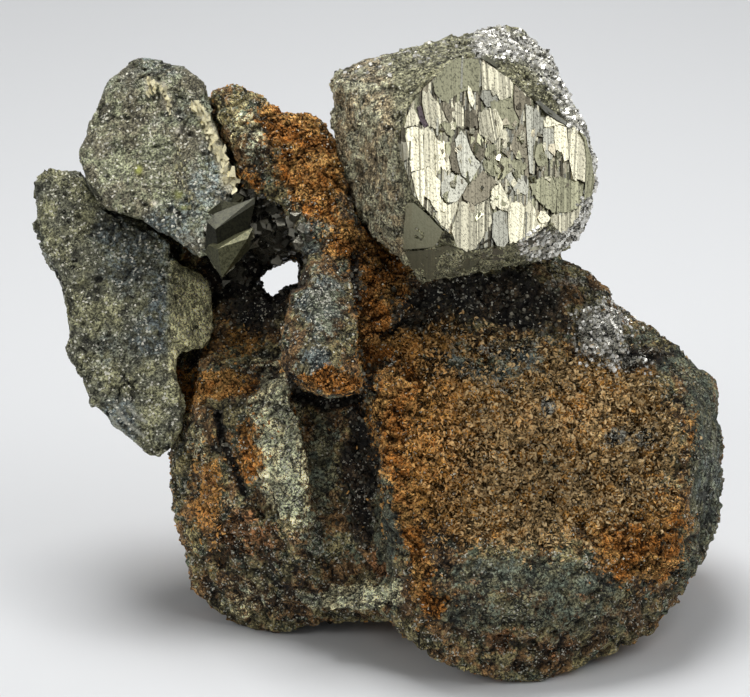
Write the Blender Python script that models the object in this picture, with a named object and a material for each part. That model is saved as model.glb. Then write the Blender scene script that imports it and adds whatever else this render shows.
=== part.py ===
"""A cabinet specimen of pyrite: three large crystals grown on a rust-crusted matrix.

Corners are laid out as the specimen is seen from its front, looking down on it by VIEW_TILT: each is
(across, up, depth) in millimetres, where across and up are measured on the middle plane and depth runs
away from the viewer. seen() turns such a corner into the part's own frame, in metres.
"""

import math

import bmesh
import bpy
from mathutils import Euler, Matrix, Vector, noise
from mathutils.bvhtree import BVHTree

MM = 0.001

# The layout
VIEW_TILT = math.radians(22)
VIEW_DISTANCE = 380.0
LAYOUT_MIDDLE = Vector((-0.75, 4.5, 32.4))
VIEW_UP = Vector((0, math.sin(VIEW_TILT), math.cos(VIEW_TILT)))
VIEW_AWAY = Vector((0, math.cos(VIEW_TILT), -math.sin(VIEW_TILT)))

# Fits
CONTACT_GAP = 0.35
BASE_REACH = 120.0
BASE_DEPTH = 20.0

# The large crystal: the outline of its front face, the lean of that face, and its other corners
LARGE_FACE = (
    (4.75, 19.3), (2.9, 25.6), (3.9, 29.6), (5.75, 32.3), (10.4, 36.3), (13.25, 36.3), (17.25, 33.2),
    (22.75, 28.4), (26.4, 26.4), (27.5, 20.8), (25.0, 17.2), (21.6, 15.3), (18.75, 13.6), (12.25, 12.3),
    (8.4, 15.1),
)
LARGE_FACE_MIDDLE = (15.0, 24.8, -18.0)
LARGE_FACE_LEAN = (0.36, 0.40)
LARGE_LEFT = (
    (-5.25, 34.4, -6), (-5.5, 28.9, -4), (-4.25, 23.2, -4), (-3.0, 18.4, -6), (-0.4, 14.3, -9),
    (-2.1, 35.9, -4.5),
)
LARGE_UNDERSIDE = (
    (4.1, 10.3, -13), (6.5, 8.4, -14), (13.5, 9.6, -13), (18.25, 10.6, -11), (21.9, 11.3, -7),
    (25.25, 13.6, -6), (26.9, 16.7, -8),
)
LARGE_TOP = (
    (5.5, 37.8, -2), (11.25, 39.2, 0), (15.6, 40.4, 3), (18.25, 40.1, 3), (21.4, 36.8, 1), (22.5, 35.2, 0),
    (24.0, 31.6, -2), (26.4, 27.2, -9), (27.4, 23.7, -12),
)
LARGE_BACK = ((0, 31, 3), (6, 34, 6), (17, 35.5, 8), (24, 28, 7), (21, 15, 5), (6, 14, 2))

# The mosaic of plates on the large crystal's front face: where each plate's middle is seen
PLATE_MIDDLES = (
    (9.9, 33.2), (14.6, 34.4), (14.4, 31.6), (16.6, 31.8), (7.25, 30.3), (4.6, 28.4), (6.25, 25.1),
    (10.4, 29.7), (11.75, 31.1), (8.6, 27.1), (11.1, 24.1), (9.9, 21.6), (6.5, 20.8), (14.1, 27.1),
    (15.4, 28.9), (17.75, 26.1), (20.4, 27.9), (20.6, 24.6), (23.0, 26.1), (25.1, 24.2), (26.6, 22.1),
    (13.9, 23.2), (13.0, 20.3), (17.25, 21.3), (15.6, 19.1), (21.4, 20.8), (24.0, 19.8), (18.5, 18.4),
    (11.75, 15.3), (17.0, 15.6), (7.95, 16.9),
)
PLATE_CRACK = 0.22
PLATE_SUNK = 0.9
PLATE_TILT = 0.10
PLATE_STEP = 0.28

# The upper left crystal, a thick tablet: its outline, the lean of its face and its thickness
UPPER_FACE = (
    (-37.4, 24.2), (-36.4, 27.0), (-35.4, 29.3), (-33.9, 32.9), (-31.5, 35.3), (-29.75, 36.4), (-26.1, 36.3),
    (-22.8, 35.0), (-21.9, 33.0), (-21.6, 29.4), (-20.3, 24.8), (-19.1, 21.7), (-18.8, 18.6), (-19.6, 14.6),
    (-21.1, 10.6), (-23.1, 12.1), (-26.1, 13.8), (-29.5, 15.9), (-33.1, 17.1), (-34.9, 18.6), (-36.25, 20.7),
    (-36.1, 22.2),
)
UPPER_FACE_MIDDLE = (-28.0, 24.0, -7.0)
UPPER_FACE_LEAN = (-0.15, 0.30)
UPPER_THICKNESS = 9.0
UPPER_BEVEL = (
    (-21.3, 33.2, -3.5), (-20.0, 28.2, -5.0), (-17.6, 22.9, -6.5), (-17.1, 20.2, -7.5),
    (-17.9, 16.8, -8.5),
)
OLIVE_CRYSTALS = (
    # The pointed crystal at the lower corner, the plate above it and the upright one beside the streak
    ((-20.8, 11.7, -12.5), (-20.0, 13.0, -12.0), (-17.6, 13.1, -12.0), (-15.1, 14.9, -10.0),
     (-15.2, 13.6, -11.0), (-16.4, 11.7, -12.2), (-19.3, 8.9, -13.5), (-21.6, 14.5, -4.5),
     (-15.8, 14.0, -3.0), (-18.5, 10.4, -3.0)),
    ((-20.4, 13.4, -11.5), (-19.9, 14.6, -10.6), (-16.9, 15.8, -9.6), (-17.2, 14.2, -10.2),
     (-19.7, 12.9, -11.6), (-21.6, 15.5, -5.0), (-18.4, 14.8, -2.0)),
    ((-18.7, 18.8, -9.4), (-17.0, 18.8, -8.4), (-17.3, 17.0, -8.6), (-18.4, 15.3, -9.6),
     (-19.4, 14.9, -10.4), (-21.4, 17.5, -5.0), (-18.6, 17.0, -2.0)),
)

# The left crystal, a slab with an upright striated side face
LEFT_FACE = (
    (-42.9, 22.0), (-41.25, 22.8), (-36.5, 22.2), (-33.5, 20.6), (-29.5, 18.0), (-25.4, 14.2), (-25.2, 10.8),
    (-25.1, 6.1), (-25.3, 3.6), (-25.9, 1.6), (-25.0, -0.4), (-24.75, -3.4), (-23.75, -7.4), (-24.5, -10.9),
    (-26.1, -13.6), (-28.1, -13.7), (-31.0, -10.9), (-33.6, -8.6), (-34.75, -7.8), (-35.9, -5.3),
    (-37.5, -2.6), (-38.9, 0.4), (-38.1, 2.4), (-38.6, 5.8), (-39.9, 8.7), (-41.25, 10.6), (-42.0, 12.9),
    (-42.6, 15.8),
)
LEFT_FACE_MIDDLE = (-32.0, 5.0, -5.5)
LEFT_FACE_LEAN = (-0.08, 0.14)
LEFT_THICKNESS = 11.0
LEFT_SIDE = (
    (-25.3, 11.2, -4.5), (-23.4, 10.1, -3.0), (-21.4, 9.2, -1.0), (-20.5, 7.4, 0.5), (-20.9, 1.7, 0.5),
    (-20.1, -0.2, -0.5), (-24.75, -0.4, -6.0), (-25.9, 1.6, -6.4), (-24.5, 8.0, 6.0), (-24.5, 0.0, 6.0),
    (-22.0, 7.0, 5.0), (-22.0, 1.0, 5.0),
)
LEFT_SIDE_START = -24.6

# The matrix, as the masses that it is grown together from
HUMP = (
    (-21.4, 32.8, -5), (-19.6, 33.1, -4), (-17.6, 33.2, -4), (-15.5, 32.3, -4), (-13.75, 30.8, -4),
    (-11.9, 29.3, -4), (-16.9, 19.8, -8.5), (-15.6, 18.8, -8), (-11.75, 18.2, -8), (-9.4, 24.8, -8),
    (-15.6, 26, -9), (-18.75, 29.8, -7), (-20, 30, 6), (-12, 28, 8), (-10, 18, 8), (-18, 18, 7),
)
RIDGE_TOP = (
    (-10.6, 29.4, -4), (-8.5, 29.9, -4), (-5.6, 27.8, -5), (-4.6, 23.6, -8), (-3.1, 19.8, -8),
    (-9.75, 15.8, -10), (-11.9, 18.8, -7), (-8.25, 12.7, -12), (-0.9, 15.8, -9), (-8.1, 21, -10),
    (-10, 28, 6), (-4, 26, 6), (-2, 16, 6), (-9, 14, 5),
)
RIDGE = (
    (-8.6, 13.4, -11), (-9.5, 11.2, -12), (-9.6, 9.2, -12.5), (-10.4, 6.6, -14), (-11.1, 3.6, -15.5),
    (-11.9, -0.3, -17), (-12.2, -3.1, -17), (-1.9, 9.8, -12), (-1.8, 4.8, -15), (-1.8, -1.3, -19),
    (-2.0, -5.4, -20.5), (-5.4, -6.7, -21.5), (-9.0, -5.9, -19.5), (-6.9, 6.5, -17.5), (-6.9, -2.7, -21.5),
    (-8.5, 12, 2), (-2, 12, 2), (-1, -4, -6), (-10, -4, -6), (-1.2, 14.5, -8),
)
RUST_WALL = (
    (-1.2, 13.6, -7), (1.25, 12.2, -6), (2.25, 8.6, -9), (4.75, 5.6, -11), (3.25, 3.6, -12.5),
    (-0.4, 0.4, -14), (-1.4, -1.3, -15), (-1.6, 8, -10), (-1, 12, 6), (6, 6, 6), (-1, -2, 2),
)
CAVITY_ROOF = (
    (-17.5, 18.5, -4), (-11, 18.2, -5), (-9.2, 15.0, -5), (-9.0, 12.5, -2), (-12, 14, -2), (-17, 14.5, -1),
    (-19.5, 17, 0), (-19, 18, 10), (-9, 17, 10), (-9, 11.6, 8), (-20, 12, 8),
)
CAVITY_WALL = (
    (-27, 17, 3), (-19, 18, 4), (-8.5, 16, 4), (-8.5, 2, 3), (-20, 2, 5), (-27, 4, 4), (-26, 16, 12),
    (-9, 15, 14), (-9, 2, 16), (-26, 2, 14),
)
CAVITY_FLOOR = (
    (-24, 5.5, 6), (-20.5, 5.5, 2), (-13.5, 6.6, 2), (-12.2, 6.2, 0), (-9.0, 7.9, -2), (-9, -2, -4),
    (-24, -2, 0), (-24, 4, 14), (-9, 8, 12), (-9, -2, 14), (-24, -2, 16),
)
RIGHT_BLOCK = (
    # Its front face, its rim, the edge that it stands on, and its back
    (-0.6, -6.4, -16.5), (3.75, 2.3, -12), (8.1, 6, -9.5), (20.6, 7.9, -6.5), (28.1, 4.8, -6.5),
    (34.4, -1.4, -8), (39.6, -5.8, -8), (40.25, -12.7, -10), (38.75, -21.4, -12.5), (34.4, -28.3, -15.5),
    (25.6, -31.4, -18.5), (13.1, -31.4, -20.5), (5, -30.2, -20), (1.25, -18.9, -19),
    (21.6, 10.8, -2), (24.25, 10.4, -1), (30.2, 4.9, 0), (34.25, 0.9, 0), (40.4, -2.6, 0), (42.6, -4.4, 1),
    (43.6, -8.9, 2), (44.1, -12.7, 2), (44.1, -16.6, 1), (43.4, -22.7, -1), (41.75, -25.8, -2),
    (37.75, -31.1, -5), (33.9, -36.1, -8), (28.9, -39.1, -10), (22.4, -41.7, -13), (20, -42.6, -14),
    (17, -41.9, -14), (11.1, -40.2, -15), (7.6, -39.1, -15), (5.25, -36.9, -15), (2.4, -35.2, -13),
    (4, 8, 10), (18, 11, 12), (32, 4, 14), (39, -6, 14), (40, -14, 14), (34, -24, 14), (26, -28, 18),
    (6, -26, 22), (0, -20, 20), (0, 0, 12),
)
RIM_SHOULDER = (
    (21, 8, -5), (21.6, 10.8, -2), (24.25, 10.8, -1), (29.1, 7.5, 0), (30.4, 4.6, -2), (26, 4, -6),
    (30, 4, 6), (28.5, 7, 7), (23, 10, 8), (20, 8, 8),
)
LEFT_MASS = (
    (-26.1, -11.4, -3), (-25.4, -16.4, -1), (-23.9, -21.3, 0), (-23.5, -24.9, 0), (-22.9, -29.9, 0),
    (-21.4, -32.2, 0), (-19.25, -34.1, 0), (-17.6, -35.4, 0), (-14.6, -35.6, 0), (-10.6, -34.9, -2),
    (-20, -24, -6), (-11.9, -24, -8), (-12.5, -10.2, -8), (-21.9, -8.9, -8), (-15.6, -4.2, -8),
    (-8.1, -8.9, -8), (-5.6, -31.2, -8), (-23.75, -0.2, -3), (-11, -1, -5), (-22, -5, 16), (-20, -22, 20),
    (-14, -25, 25), (-8, -8, 18),
)
MIDDLE_MASS = (
    (-10, -33.5, -4), (-10, -34.6, 0), (2.4, -34.4, -8), (3.5, -30, -12), (-8, -6, -8), (0, -6, -8),
    (1, -20, -10), (-8, -20, -8), (-12, -25, 26), (10, -26, 26), (-8, -4, 18), (4, 0, 16),
)
COLUMN = (
    (-16, -4, -8), (-11.5, -3, -9), (-16.5, -8, -11), (-10.5, -7, -13), (-8.2, -10, -13), (-15.5, -14, -11.5),
    (-10, -15, -13), (-8.2, -19, -12.5), (-13, -20, -10.5), (-9.5, -24, -11.5), (-8, -28, -10),
    (-13, -12, -4), (-9, -22, -4),
)
CRYSTAL_BED = (
    # What the large crystal stands on, behind its overhanging front
    (3.5, 9.5, -9), (12, 8.5, -10), (19.5, 9.0, -7), (22, 13, -3), (1, 15, -5), (-1.5, 20, -1), (22, 20, 1),
    (0, 24, 7), (20, 24, 9), (8, 24, 12), (-1, 10, 13), (22, 8, 12), (10, 4, 18), (2, 3, -6), (21, 5, -2),
)
UPPER_BACKING = (
    (-33, 31, -1), (-24, 32, -1), (-34, 22, 1), (-31, 17, 0), (-20, 13, 0), (-18, 30, 0), (-28, 28, 6),
    (-19, 27, 8), (-27, 17, 8), (-19, 14, 10),
)
LEFT_BACKING = (
    (-36, 17, 4), (-37, 10, 4), (-34, 0, 2), (-30, -7, 0), (-26, -10, -2), (-22, 16, 4), (-22, 0, 4),
    (-30, 14, 10), (-31, 2, 10), (-25, -6, 12), (-20, 12, 14), (-18, -4, 18),
)
LIP = (
    (-9.2, -33.1, -9), (-2.2, -29.8, -12), (-0.8, -29.4, -13), (0.2, -29, -14), (3, -29.4, -15),
    (3.2, -30.6, -15), (-4, -32.6, -12), (-3, -33.2, -10), (3, -33.2, -10), (-2, -28, -6), (3, -27, -8),
)
DRUSE_MOUND = (
    (25.8, 4.2, -8.4), (27.5, 5.2, -7.4), (29.5, 4.6, -7.2), (31, 2.5, -7.4), (30.6, 0.2, -8.6),
    (28, -0.8, -9.6), (25.8, 1, -9.6), (28, 2, -11), (28, 2, -4), (33.5, -0.6, -7.6), (32.2, -1.8, -8.4),
)
MATRIX_MASSES = (
    HUMP, RIDGE_TOP, RIDGE, RUST_WALL, CAVITY_ROOF, CAVITY_WALL, CAVITY_FLOOR, RIGHT_BLOCK,
    RIM_SHOULDER, LEFT_MASS, MIDDLE_MASS, COLUMN, CRYSTAL_BED, UPPER_BACKING, LEFT_BACKING, LIP, DRUSE_MOUND,
)
WINDOW = (
    (-14.3, 9.0), (-12.3, 10.0), (-9.0, 11.2), (-9.2, 8.4), (-11.0, 8.15), (-11.8, 7.8), (-12.4, 6.3),
    (-13.5, 6.9),
)
WINDOW_REACH = (-11.0, 45.0)
MATRIX_CRACKS = (
    # Each crack: its line as it is seen, the depths that it runs between and its half width
    (((-18.2, -10.4), (-17.6, -13.2), (-16.6, -16.4), (-14.4, -21.4)), (-16, -7), 0.4),
    (((-1.7, 8.4), (-1.5, 3.0), (-1.6, -1.2)), (-24, -14), 0.4),
)

# Small crystals grown in groups: the outline of each group as it is seen, the distance between crystals and
# their size
LARGE_DRUSE = (
    ((14.4, 38.9), (18.0, 39.6), (21.2, 36.6), (23.8, 31.4), (26.2, 27.0), (27.2, 23.7), (26.6, 25.4),
     (22.9, 29.2), (17.6, 34.0), (14.0, 37.0)), 1.75, 1.25,
)
LOWER_DRUSE = (
    ((19.4, 15.0), (22.5, 16.4), (26.4, 17.0), (25.6, 14.0), (22.2, 11.8), (19.0, 11.2)), 1.8, 1.2,
)
MOUND_DRUSE = (
    ((25.4, 4.6), (27.6, 5.6), (30.0, 4.8), (31.6, 1.6), (30.8, -0.8), (27.4, -1.4), (25.2, 0.8)), 1.6, 1.4,
)
CAVITY_DRUSE = (
    ((-17.4, 17.6), (-11.2, 18.0), (-9.8, 14.0), (-12.6, 12.4), (-17.0, 12.2)), 2.3, 2.1,
)
DRUSE_SEED = 3
CRYSTAL_SUNK = 0.12

# Roughness of the grown surfaces: size of the lumps and how far they stand out
LUMPS = ((7.0, 0.75), (3.2, 0.45), (1.7, 0.22))
SLAB_LUMPS = ((8.0, 0.35), (3.0, 0.28), (1.6, 0.14))
MATRIX_GRAIN = 1.15
SLAB_GRAIN = 1.0
MATRIX_FACES = 4400
SLAB_FACES = 1050

PYRITE = (0.42, 0.39, 0.29)
DULL_PYRITE = (0.17, 0.17, 0.13)
RUST_CRUST = (0.20, 0.10, 0.04)


def seen(across, up, depth):
    """The place, in metres in the part's frame, of a corner given as it is seen from the front."""
    spread = 1 + depth / VIEW_DISTANCE
    place = LAYOUT_MIDDLE + Vector((across * spread, 0, 0)) + VIEW_UP * (up * spread) + VIEW_AWAY * depth
    return place * MM


def on_face(outline, middle, lean, deeper=0.0):
    """Corners of a flat face from its outline, the depth of its middle and how it leans."""
    across, up, depth = middle
    return [(a, u, depth + lean[0] * (a - across) + lean[1] * (u - up) + deeper) for a, u in outline]


def link(name, mesh):
    solid = bpy.data.objects.new(name, mesh)
    bpy.context.scene.collection.objects.link(solid)
    return solid


def hull_of(points, spread=0.0):
    """The convex solid around these points, grown by spread on all its sides."""
    bm = bmesh.new()
    steps = (-spread, spread) if spread else (0.0,)
    for point in points:
        for offset in ((x, y, z) for x in steps for y in steps for z in steps):
            bm.verts.new(point + Vector(offset) * MM)
    made = bmesh.ops.convex_hull(bm, input=bm.verts)
    inside = {v for v in made["geom_interior"] + made["geom_unused"] if isinstance(v, bmesh.types.BMVert)}
    bmesh.ops.delete(bm, geom=list(inside), context="VERTS")
    bmesh.ops.recalc_face_normals(bm, faces=bm.faces)
    return finished(bm, "hull")


def hull_mesh(corners, spread=0.0):
    """A convex crystal or lump with these corners of the layout."""
    return hull_of([seen(*corner) for corner in corners], spread)


def finished(bm, name):
    mesh = bpy.data.meshes.new(name)
    bm.to_mesh(mesh)
    bm.free()
    return mesh


def loft_mesh(front, back):
    """A closed slab between two outlines that have the same number of corners."""
    bm = bmesh.new()
    rings = [[bm.verts.new(seen(*corner)) for corner in ring] for ring in (front, back)]
    bm.faces.new(rings[0])
    bm.faces.new(reversed(rings[1]))
    count = len(front)
    for i in range(count):
        j = (i + 1) % count
        bm.faces.new((rings[0][i], rings[1][i], rings[1][j], rings[0][j]))
    bmesh.ops.triangulate(bm, faces=bm.faces)
    bmesh.ops.recalc_face_normals(bm, faces=bm.faces)
    return finished(bm, "slab")


def shrunk(outline, share):
    """An outline drawn in towards its middle."""
    middle = [sum(c[i] for c in outline) / len(outline) for i in (0, 1)]
    return [tuple(m + (x - m) * share for x, m in zip(corner, middle)) for corner in outline]


def apply_modifiers(solid):
    graph = bpy.context.evaluated_depsgraph_get()
    mesh = bpy.data.meshes.new_from_object(solid.evaluated_get(graph))
    solid.modifiers.clear()
    solid.data = mesh


def cut(solid, cutter, operation="DIFFERENCE"):
    """Cuts the cutter's shape out of the solid, or joins it on, and removes the cutter."""
    change = solid.modifiers.new("cut", "BOOLEAN")
    change.operation = operation
    change.object = cutter
    apply_modifiers(solid)
    bpy.data.objects.remove(cutter)


def joined_masses(name, meshes):
    bm = bmesh.new()
    for mesh in meshes:
        bm.from_mesh(mesh)
    return link(name, finished(bm, name))


def roughened(solid, grain, lumps, faces):
    """Grows overlapping masses into one solid with a natural, lumpy surface of so many faces."""
    fused = solid.modifiers.new("fused", "REMESH")
    fused.mode = "VOXEL"
    fused.voxel_size = grain * MM
    apply_modifiers(solid)
    for vertex, normal in [(v, v.normal.copy()) for v in solid.data.vertices]:
        place = vertex.co / MM - LAYOUT_MIDDLE
        height = sum(reach * noise.noise(place / size) for size, reach in lumps)
        vertex.co += normal * height * MM
    thinned = solid.modifiers.new("thinned", "DECIMATE")
    thinned.ratio = min(1.0, faces / (2 * len(solid.data.polygons)))
    apply_modifiers(solid)


def prism(name, outline, near, far, taper=1.0):
    """A cutter with this outline as it is seen, from one depth to another."""
    front = [(a, u, near) for a, u in outline]
    back = [(a, u, far) for a, u in shrunk(outline, taper)]
    return link(name, loft_mesh(front, back))


def matrix():
    solid = joined_masses("matrix", [hull_mesh(mass) for mass in MATRIX_MASSES])
    roughened(solid, MATRIX_GRAIN, LUMPS, MATRIX_FACES)
    cut(solid, prism("window", WINDOW, *WINDOW_REACH))
    for line, depths, half_width in MATRIX_CRACKS:
        for start, end in zip(line, line[1:]):
            corners = [(*place, depth) for place in (start, end) for depth in depths]
            cut(solid, link("crack", hull_mesh(corners, half_width)))
    return solid


def inside(outline, place):
    """Whether a place lies inside an outline."""
    crossings = 0
    for (a, u), (next_a, next_u) in zip(outline, outline[1:] + outline[:1]):
        if (u > place[1]) != (next_u > place[1]):
            crossings += place[0] < a + (place[1] - u) * (next_a - a) / (next_u - u)
    return crossings % 2 == 1


def druse_places(outline, spacing):
    """Places in staggered rows inside an outline, each a little off its row."""
    low = [min(corner[i] for corner in outline) for i in (0, 1)]
    high = [max(corner[i] for corner in outline) for i in (0, 1)]
    row_height = spacing * math.sqrt(3) / 2
    places = []
    for row in range(math.ceil((high[1] - low[1]) / row_height)):
        for step in range(math.ceil((high[0] - low[0]) / spacing)):
            across = low[0] + (step + row % 2 / 2) * spacing
            up = low[1] + row * row_height
            drift = noise.noise_vector(Vector((across, up, 0.5))) * spacing * 0.35
            place = (across + drift.x, up + drift.y)
            if inside(outline, place):
                places.append(place)
    return places


def grown_druse(solid, group):
    """Small cubes of many sizes, turned every way, that grow out of the solid where they are seen."""
    outline, spacing, size = group
    noise.seed_set(DRUSE_SEED)
    surface = BVHTree.FromPolygons(
        [v.co for v in solid.data.vertices], [p.vertices for p in solid.data.polygons]
    )
    eye = seen(0, 0, -VIEW_DISTANCE)
    cluster = None
    for across, up in druse_places(outline, spacing):
        hit, normal, _, _ = surface.ray_cast(eye, seen(across, up, 0) - eye)
        if hit is None:
            continue
        change = noise.noise_vector(Vector((across * 1.3, up * 1.3, 2.5)))
        half = size * (0.5 + 0.22 * change.x) * MM
        turn = Euler(change * 9).to_matrix()
        middle = hit - normal * CRYSTAL_SUNK * MM
        corners = [
            middle + turn @ Vector((x, y, z)) * half for x in (-1, 1) for y in (-1, 1) for z in (-1, 1)
        ]
        crystal = link("small_crystal", hull_of(corners))
        if cluster is None:
            cluster = crystal
        else:
            cut(cluster, crystal, "UNION")
    cut(solid, cluster, "UNION")


def plate_outline(index):
    """The outline of one plate: the part of the face that is nearer its middle than any other's."""
    middle = Vector(PLATE_MIDDLES[index])
    outline = [Vector(corner) for corner in LARGE_FACE]
    for other in PLATE_MIDDLES:
        away = Vector(other) - middle
        if away.length == 0:
            continue
        limit = away.length / 2 - PLATE_CRACK / 2
        outline = clipped(outline, middle, away.normalized(), limit)
    return outline


def clipped(outline, middle, direction, limit):
    """The outline's part that lies no farther than limit from middle along direction."""
    kept = []
    for start, end in zip(outline, outline[1:] + outline[:1]):
        before = (start - middle).dot(direction) - limit
        after = (end - middle).dot(direction) - limit
        if before <= 0:
            kept.append(start)
        if before * after < 0:
            kept.append(start.lerp(end, before / (before - after)))
    return kept


def plate(index):
    """One plate of the mosaic, a low prism whose top has its own tilt and height."""
    outline = shrunk(plate_outline(index), 0.97)
    seed = Vector((index * 1.7, 3.1, 5.3))
    tilt = [PLATE_TILT * noise.noise(seed + Vector((0, shift, 0))) * 2 for shift in (0, 11)]
    step = PLATE_STEP * noise.noise(seed + Vector((0, 0, 7)))
    middle = PLATE_MIDDLES[index]
    top = on_face(outline, LARGE_FACE_MIDDLE, LARGE_FACE_LEAN)
    top = [
        (a, u, d + step + tilt[0] * (a - middle[0]) + tilt[1] * (u - middle[1])) for a, u, d in top
    ]
    root = on_face(outline, LARGE_FACE_MIDDLE, LARGE_FACE_LEAN, 2 * PLATE_SUNK)
    return link(f"plate_{index}", loft_mesh(top, root))


def large_crystal_corners(sunk=0.0):
    face = on_face(LARGE_FACE, LARGE_FACE_MIDDLE, LARGE_FACE_LEAN, sunk)
    return [*face, *LARGE_LEFT, *LARGE_UNDERSIDE, *LARGE_TOP, *LARGE_BACK]


def large_crystal():
    solid = link("large_crystal", hull_mesh(large_crystal_corners(PLATE_SUNK / 2)))
    for index in range(len(PLATE_MIDDLES)):
        cut(solid, plate(index), "UNION")
    grown_druse(solid, LARGE_DRUSE)
    grown_druse(solid, LOWER_DRUSE)
    return solid


def tablet(name, face, middle, lean, thickness, extras):
    front = on_face(face, middle, lean)
    back = on_face(shrunk(face, 0.86), middle, lean, thickness)
    return joined_masses(name, [loft_mesh(front, back), *(hull_mesh(e) for e in extras)])


def upper_left_crystal():
    face = on_face(UPPER_FACE[7:14], UPPER_FACE_MIDDLE, UPPER_FACE_LEAN)
    bevel = [*face, *UPPER_BEVEL, *((a - 2.5, u, d + 6) for a, u, d in UPPER_BEVEL)]
    solid = tablet(
        "upper_left_crystal", UPPER_FACE, UPPER_FACE_MIDDLE, UPPER_FACE_LEAN, UPPER_THICKNESS, [bevel]
    )
    roughened(solid, SLAB_GRAIN, SLAB_LUMPS, SLAB_FACES)
    for corners in OLIVE_CRYSTALS:
        cut(solid, link("olive", hull_mesh(corners)), "UNION")
    return solid


def left_crystal():
    solid = tablet(
        "left_crystal", LEFT_FACE, LEFT_FACE_MIDDLE, LEFT_FACE_LEAN, LEFT_THICKNESS, [LEFT_SIDE]
    )
    roughened(solid, SLAB_GRAIN, SLAB_LUMPS, SLAB_FACES)
    return solid


def carve_socket(body, crystal, parting=None):
    """Makes room in the body for a crystal that has grown in it, a little larger than the crystal.

    A crystal that isn't convex is taken in two halves, left and right of a parting plane.
    """
    points = [v.co for v in crystal.data.vertices]
    halves = [set(), set()]
    for face in crystal.data.polygons:
        beyond = parting is not None and face.center.x > parting
        halves[beyond].update(face.vertices)
    for half in halves:
        if half:
            cut(body, link("socket", hull_of([points[i] for i in sorted(half)], CONTACT_GAP)))


def ground():
    """What lies below the surface that the specimen rests on."""
    bm = bmesh.new()
    bmesh.ops.create_cube(bm, size=1.0)
    block = link("ground", finished(bm, "ground"))
    size = Matrix.Diagonal((BASE_REACH * MM, BASE_REACH * MM, BASE_DEPTH * MM, 1))
    block.data.transform(Matrix.Translation((0, 0, -BASE_DEPTH / 2 * MM)) @ size)
    return block


def drop_crumbs(solid):
    """Removes what the cuts have freed from the solid's one large piece."""
    bm = bmesh.new()
    bm.from_mesh(solid.data)
    pieces = []
    left = set(bm.verts)
    while left:
        piece = {left.pop()}
        edge_of = list(piece)
        while edge_of:
            vertex = edge_of.pop()
            reached = {edge.other_vert(vertex) for edge in vertex.link_edges} & left
            left -= reached
            piece |= reached
            edge_of.extend(reached)
        pieces.append(piece)
    largest = max(pieces, key=len)
    bmesh.ops.delete(bm, geom=[v for v in bm.verts if v not in largest], context="VERTS")
    bm.to_mesh(solid.data)
    bm.free()


def finish(solid, colour, metallic, roughness):
    material = bpy.data.materials.new(solid.name)
    material.use_nodes = True
    shader = material.node_tree.nodes["Principled BSDF"]
    shader.inputs["Base Color"].default_value = (*colour, 1)
    shader.inputs["Metallic"].default_value = metallic
    shader.inputs["Roughness"].default_value = roughness
    solid.data.materials.clear()
    solid.data.materials.append(material)


def main():
    for old in list(bpy.data.objects):
        bpy.data.objects.remove(old)
    large, upper_left, left = large_crystal(), upper_left_crystal(), left_crystal()
    carve_socket(left, upper_left)
    body = matrix()
    grown_druse(body, MOUND_DRUSE)
    grown_druse(body, CAVITY_DRUSE)
    carve_socket(body, large)
    carve_socket(body, upper_left)
    carve_socket(body, left, seen(LEFT_SIDE_START, 0, 0).x)
    cut(body, ground())
    drop_crumbs(body)
    finish(large, PYRITE, 0.9, 0.3)
    finish(upper_left, DULL_PYRITE, 0.6, 0.5)
    finish(left, DULL_PYRITE, 0.6, 0.5)
    finish(body, RUST_CRUST, 0.0, 0.8)


main()
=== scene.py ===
"""The looks of a pyrite specimen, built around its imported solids.

Places are laid out as the specimen is seen from its front, looking down on it by VIEW_TILT: across and up
in millimetres, measured on a plane through its middle, and the depth away from the viewer. placed() and
layout() turn points between that layout and the frame.
"""

import math

import bmesh
import bpy
import numpy as np
from mathutils import Matrix, Vector
from mathutils.bvhtree import BVHTree


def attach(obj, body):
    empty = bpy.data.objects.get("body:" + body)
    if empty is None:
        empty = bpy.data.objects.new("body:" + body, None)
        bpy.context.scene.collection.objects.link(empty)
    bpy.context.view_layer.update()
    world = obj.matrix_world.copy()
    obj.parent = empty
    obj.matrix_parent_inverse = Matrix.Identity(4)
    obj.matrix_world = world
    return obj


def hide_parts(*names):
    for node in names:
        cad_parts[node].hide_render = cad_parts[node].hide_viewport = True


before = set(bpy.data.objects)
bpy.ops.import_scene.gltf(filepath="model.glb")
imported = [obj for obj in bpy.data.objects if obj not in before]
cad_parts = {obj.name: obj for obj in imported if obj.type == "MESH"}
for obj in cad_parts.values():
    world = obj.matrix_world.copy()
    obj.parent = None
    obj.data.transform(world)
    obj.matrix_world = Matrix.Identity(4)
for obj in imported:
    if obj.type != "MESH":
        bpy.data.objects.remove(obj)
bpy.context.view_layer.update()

MM = 0.001

# The layout, the same as the solids'
VIEW_TILT = math.radians(22)
VIEW_DISTANCE = 380.0
LAYOUT_MIDDLE = np.array((-0.75, 4.5, 32.4))
VIEW_RIGHT = np.array((1.0, 0.0, 0.0))
VIEW_UP = np.array((0.0, math.sin(VIEW_TILT), math.cos(VIEW_TILT)))
VIEW_AWAY = np.array((0.0, math.cos(VIEW_TILT), -math.sin(VIEW_TILT)))

# The photograph's frame, for outlines that are read on it: its middle and its scale on the layout's plane
PHOTO_MIDDLE = np.array((375.0, 348.5))
PIXELS_PER_MM = 8.0
PHOTO_WIDTH = 750

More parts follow.
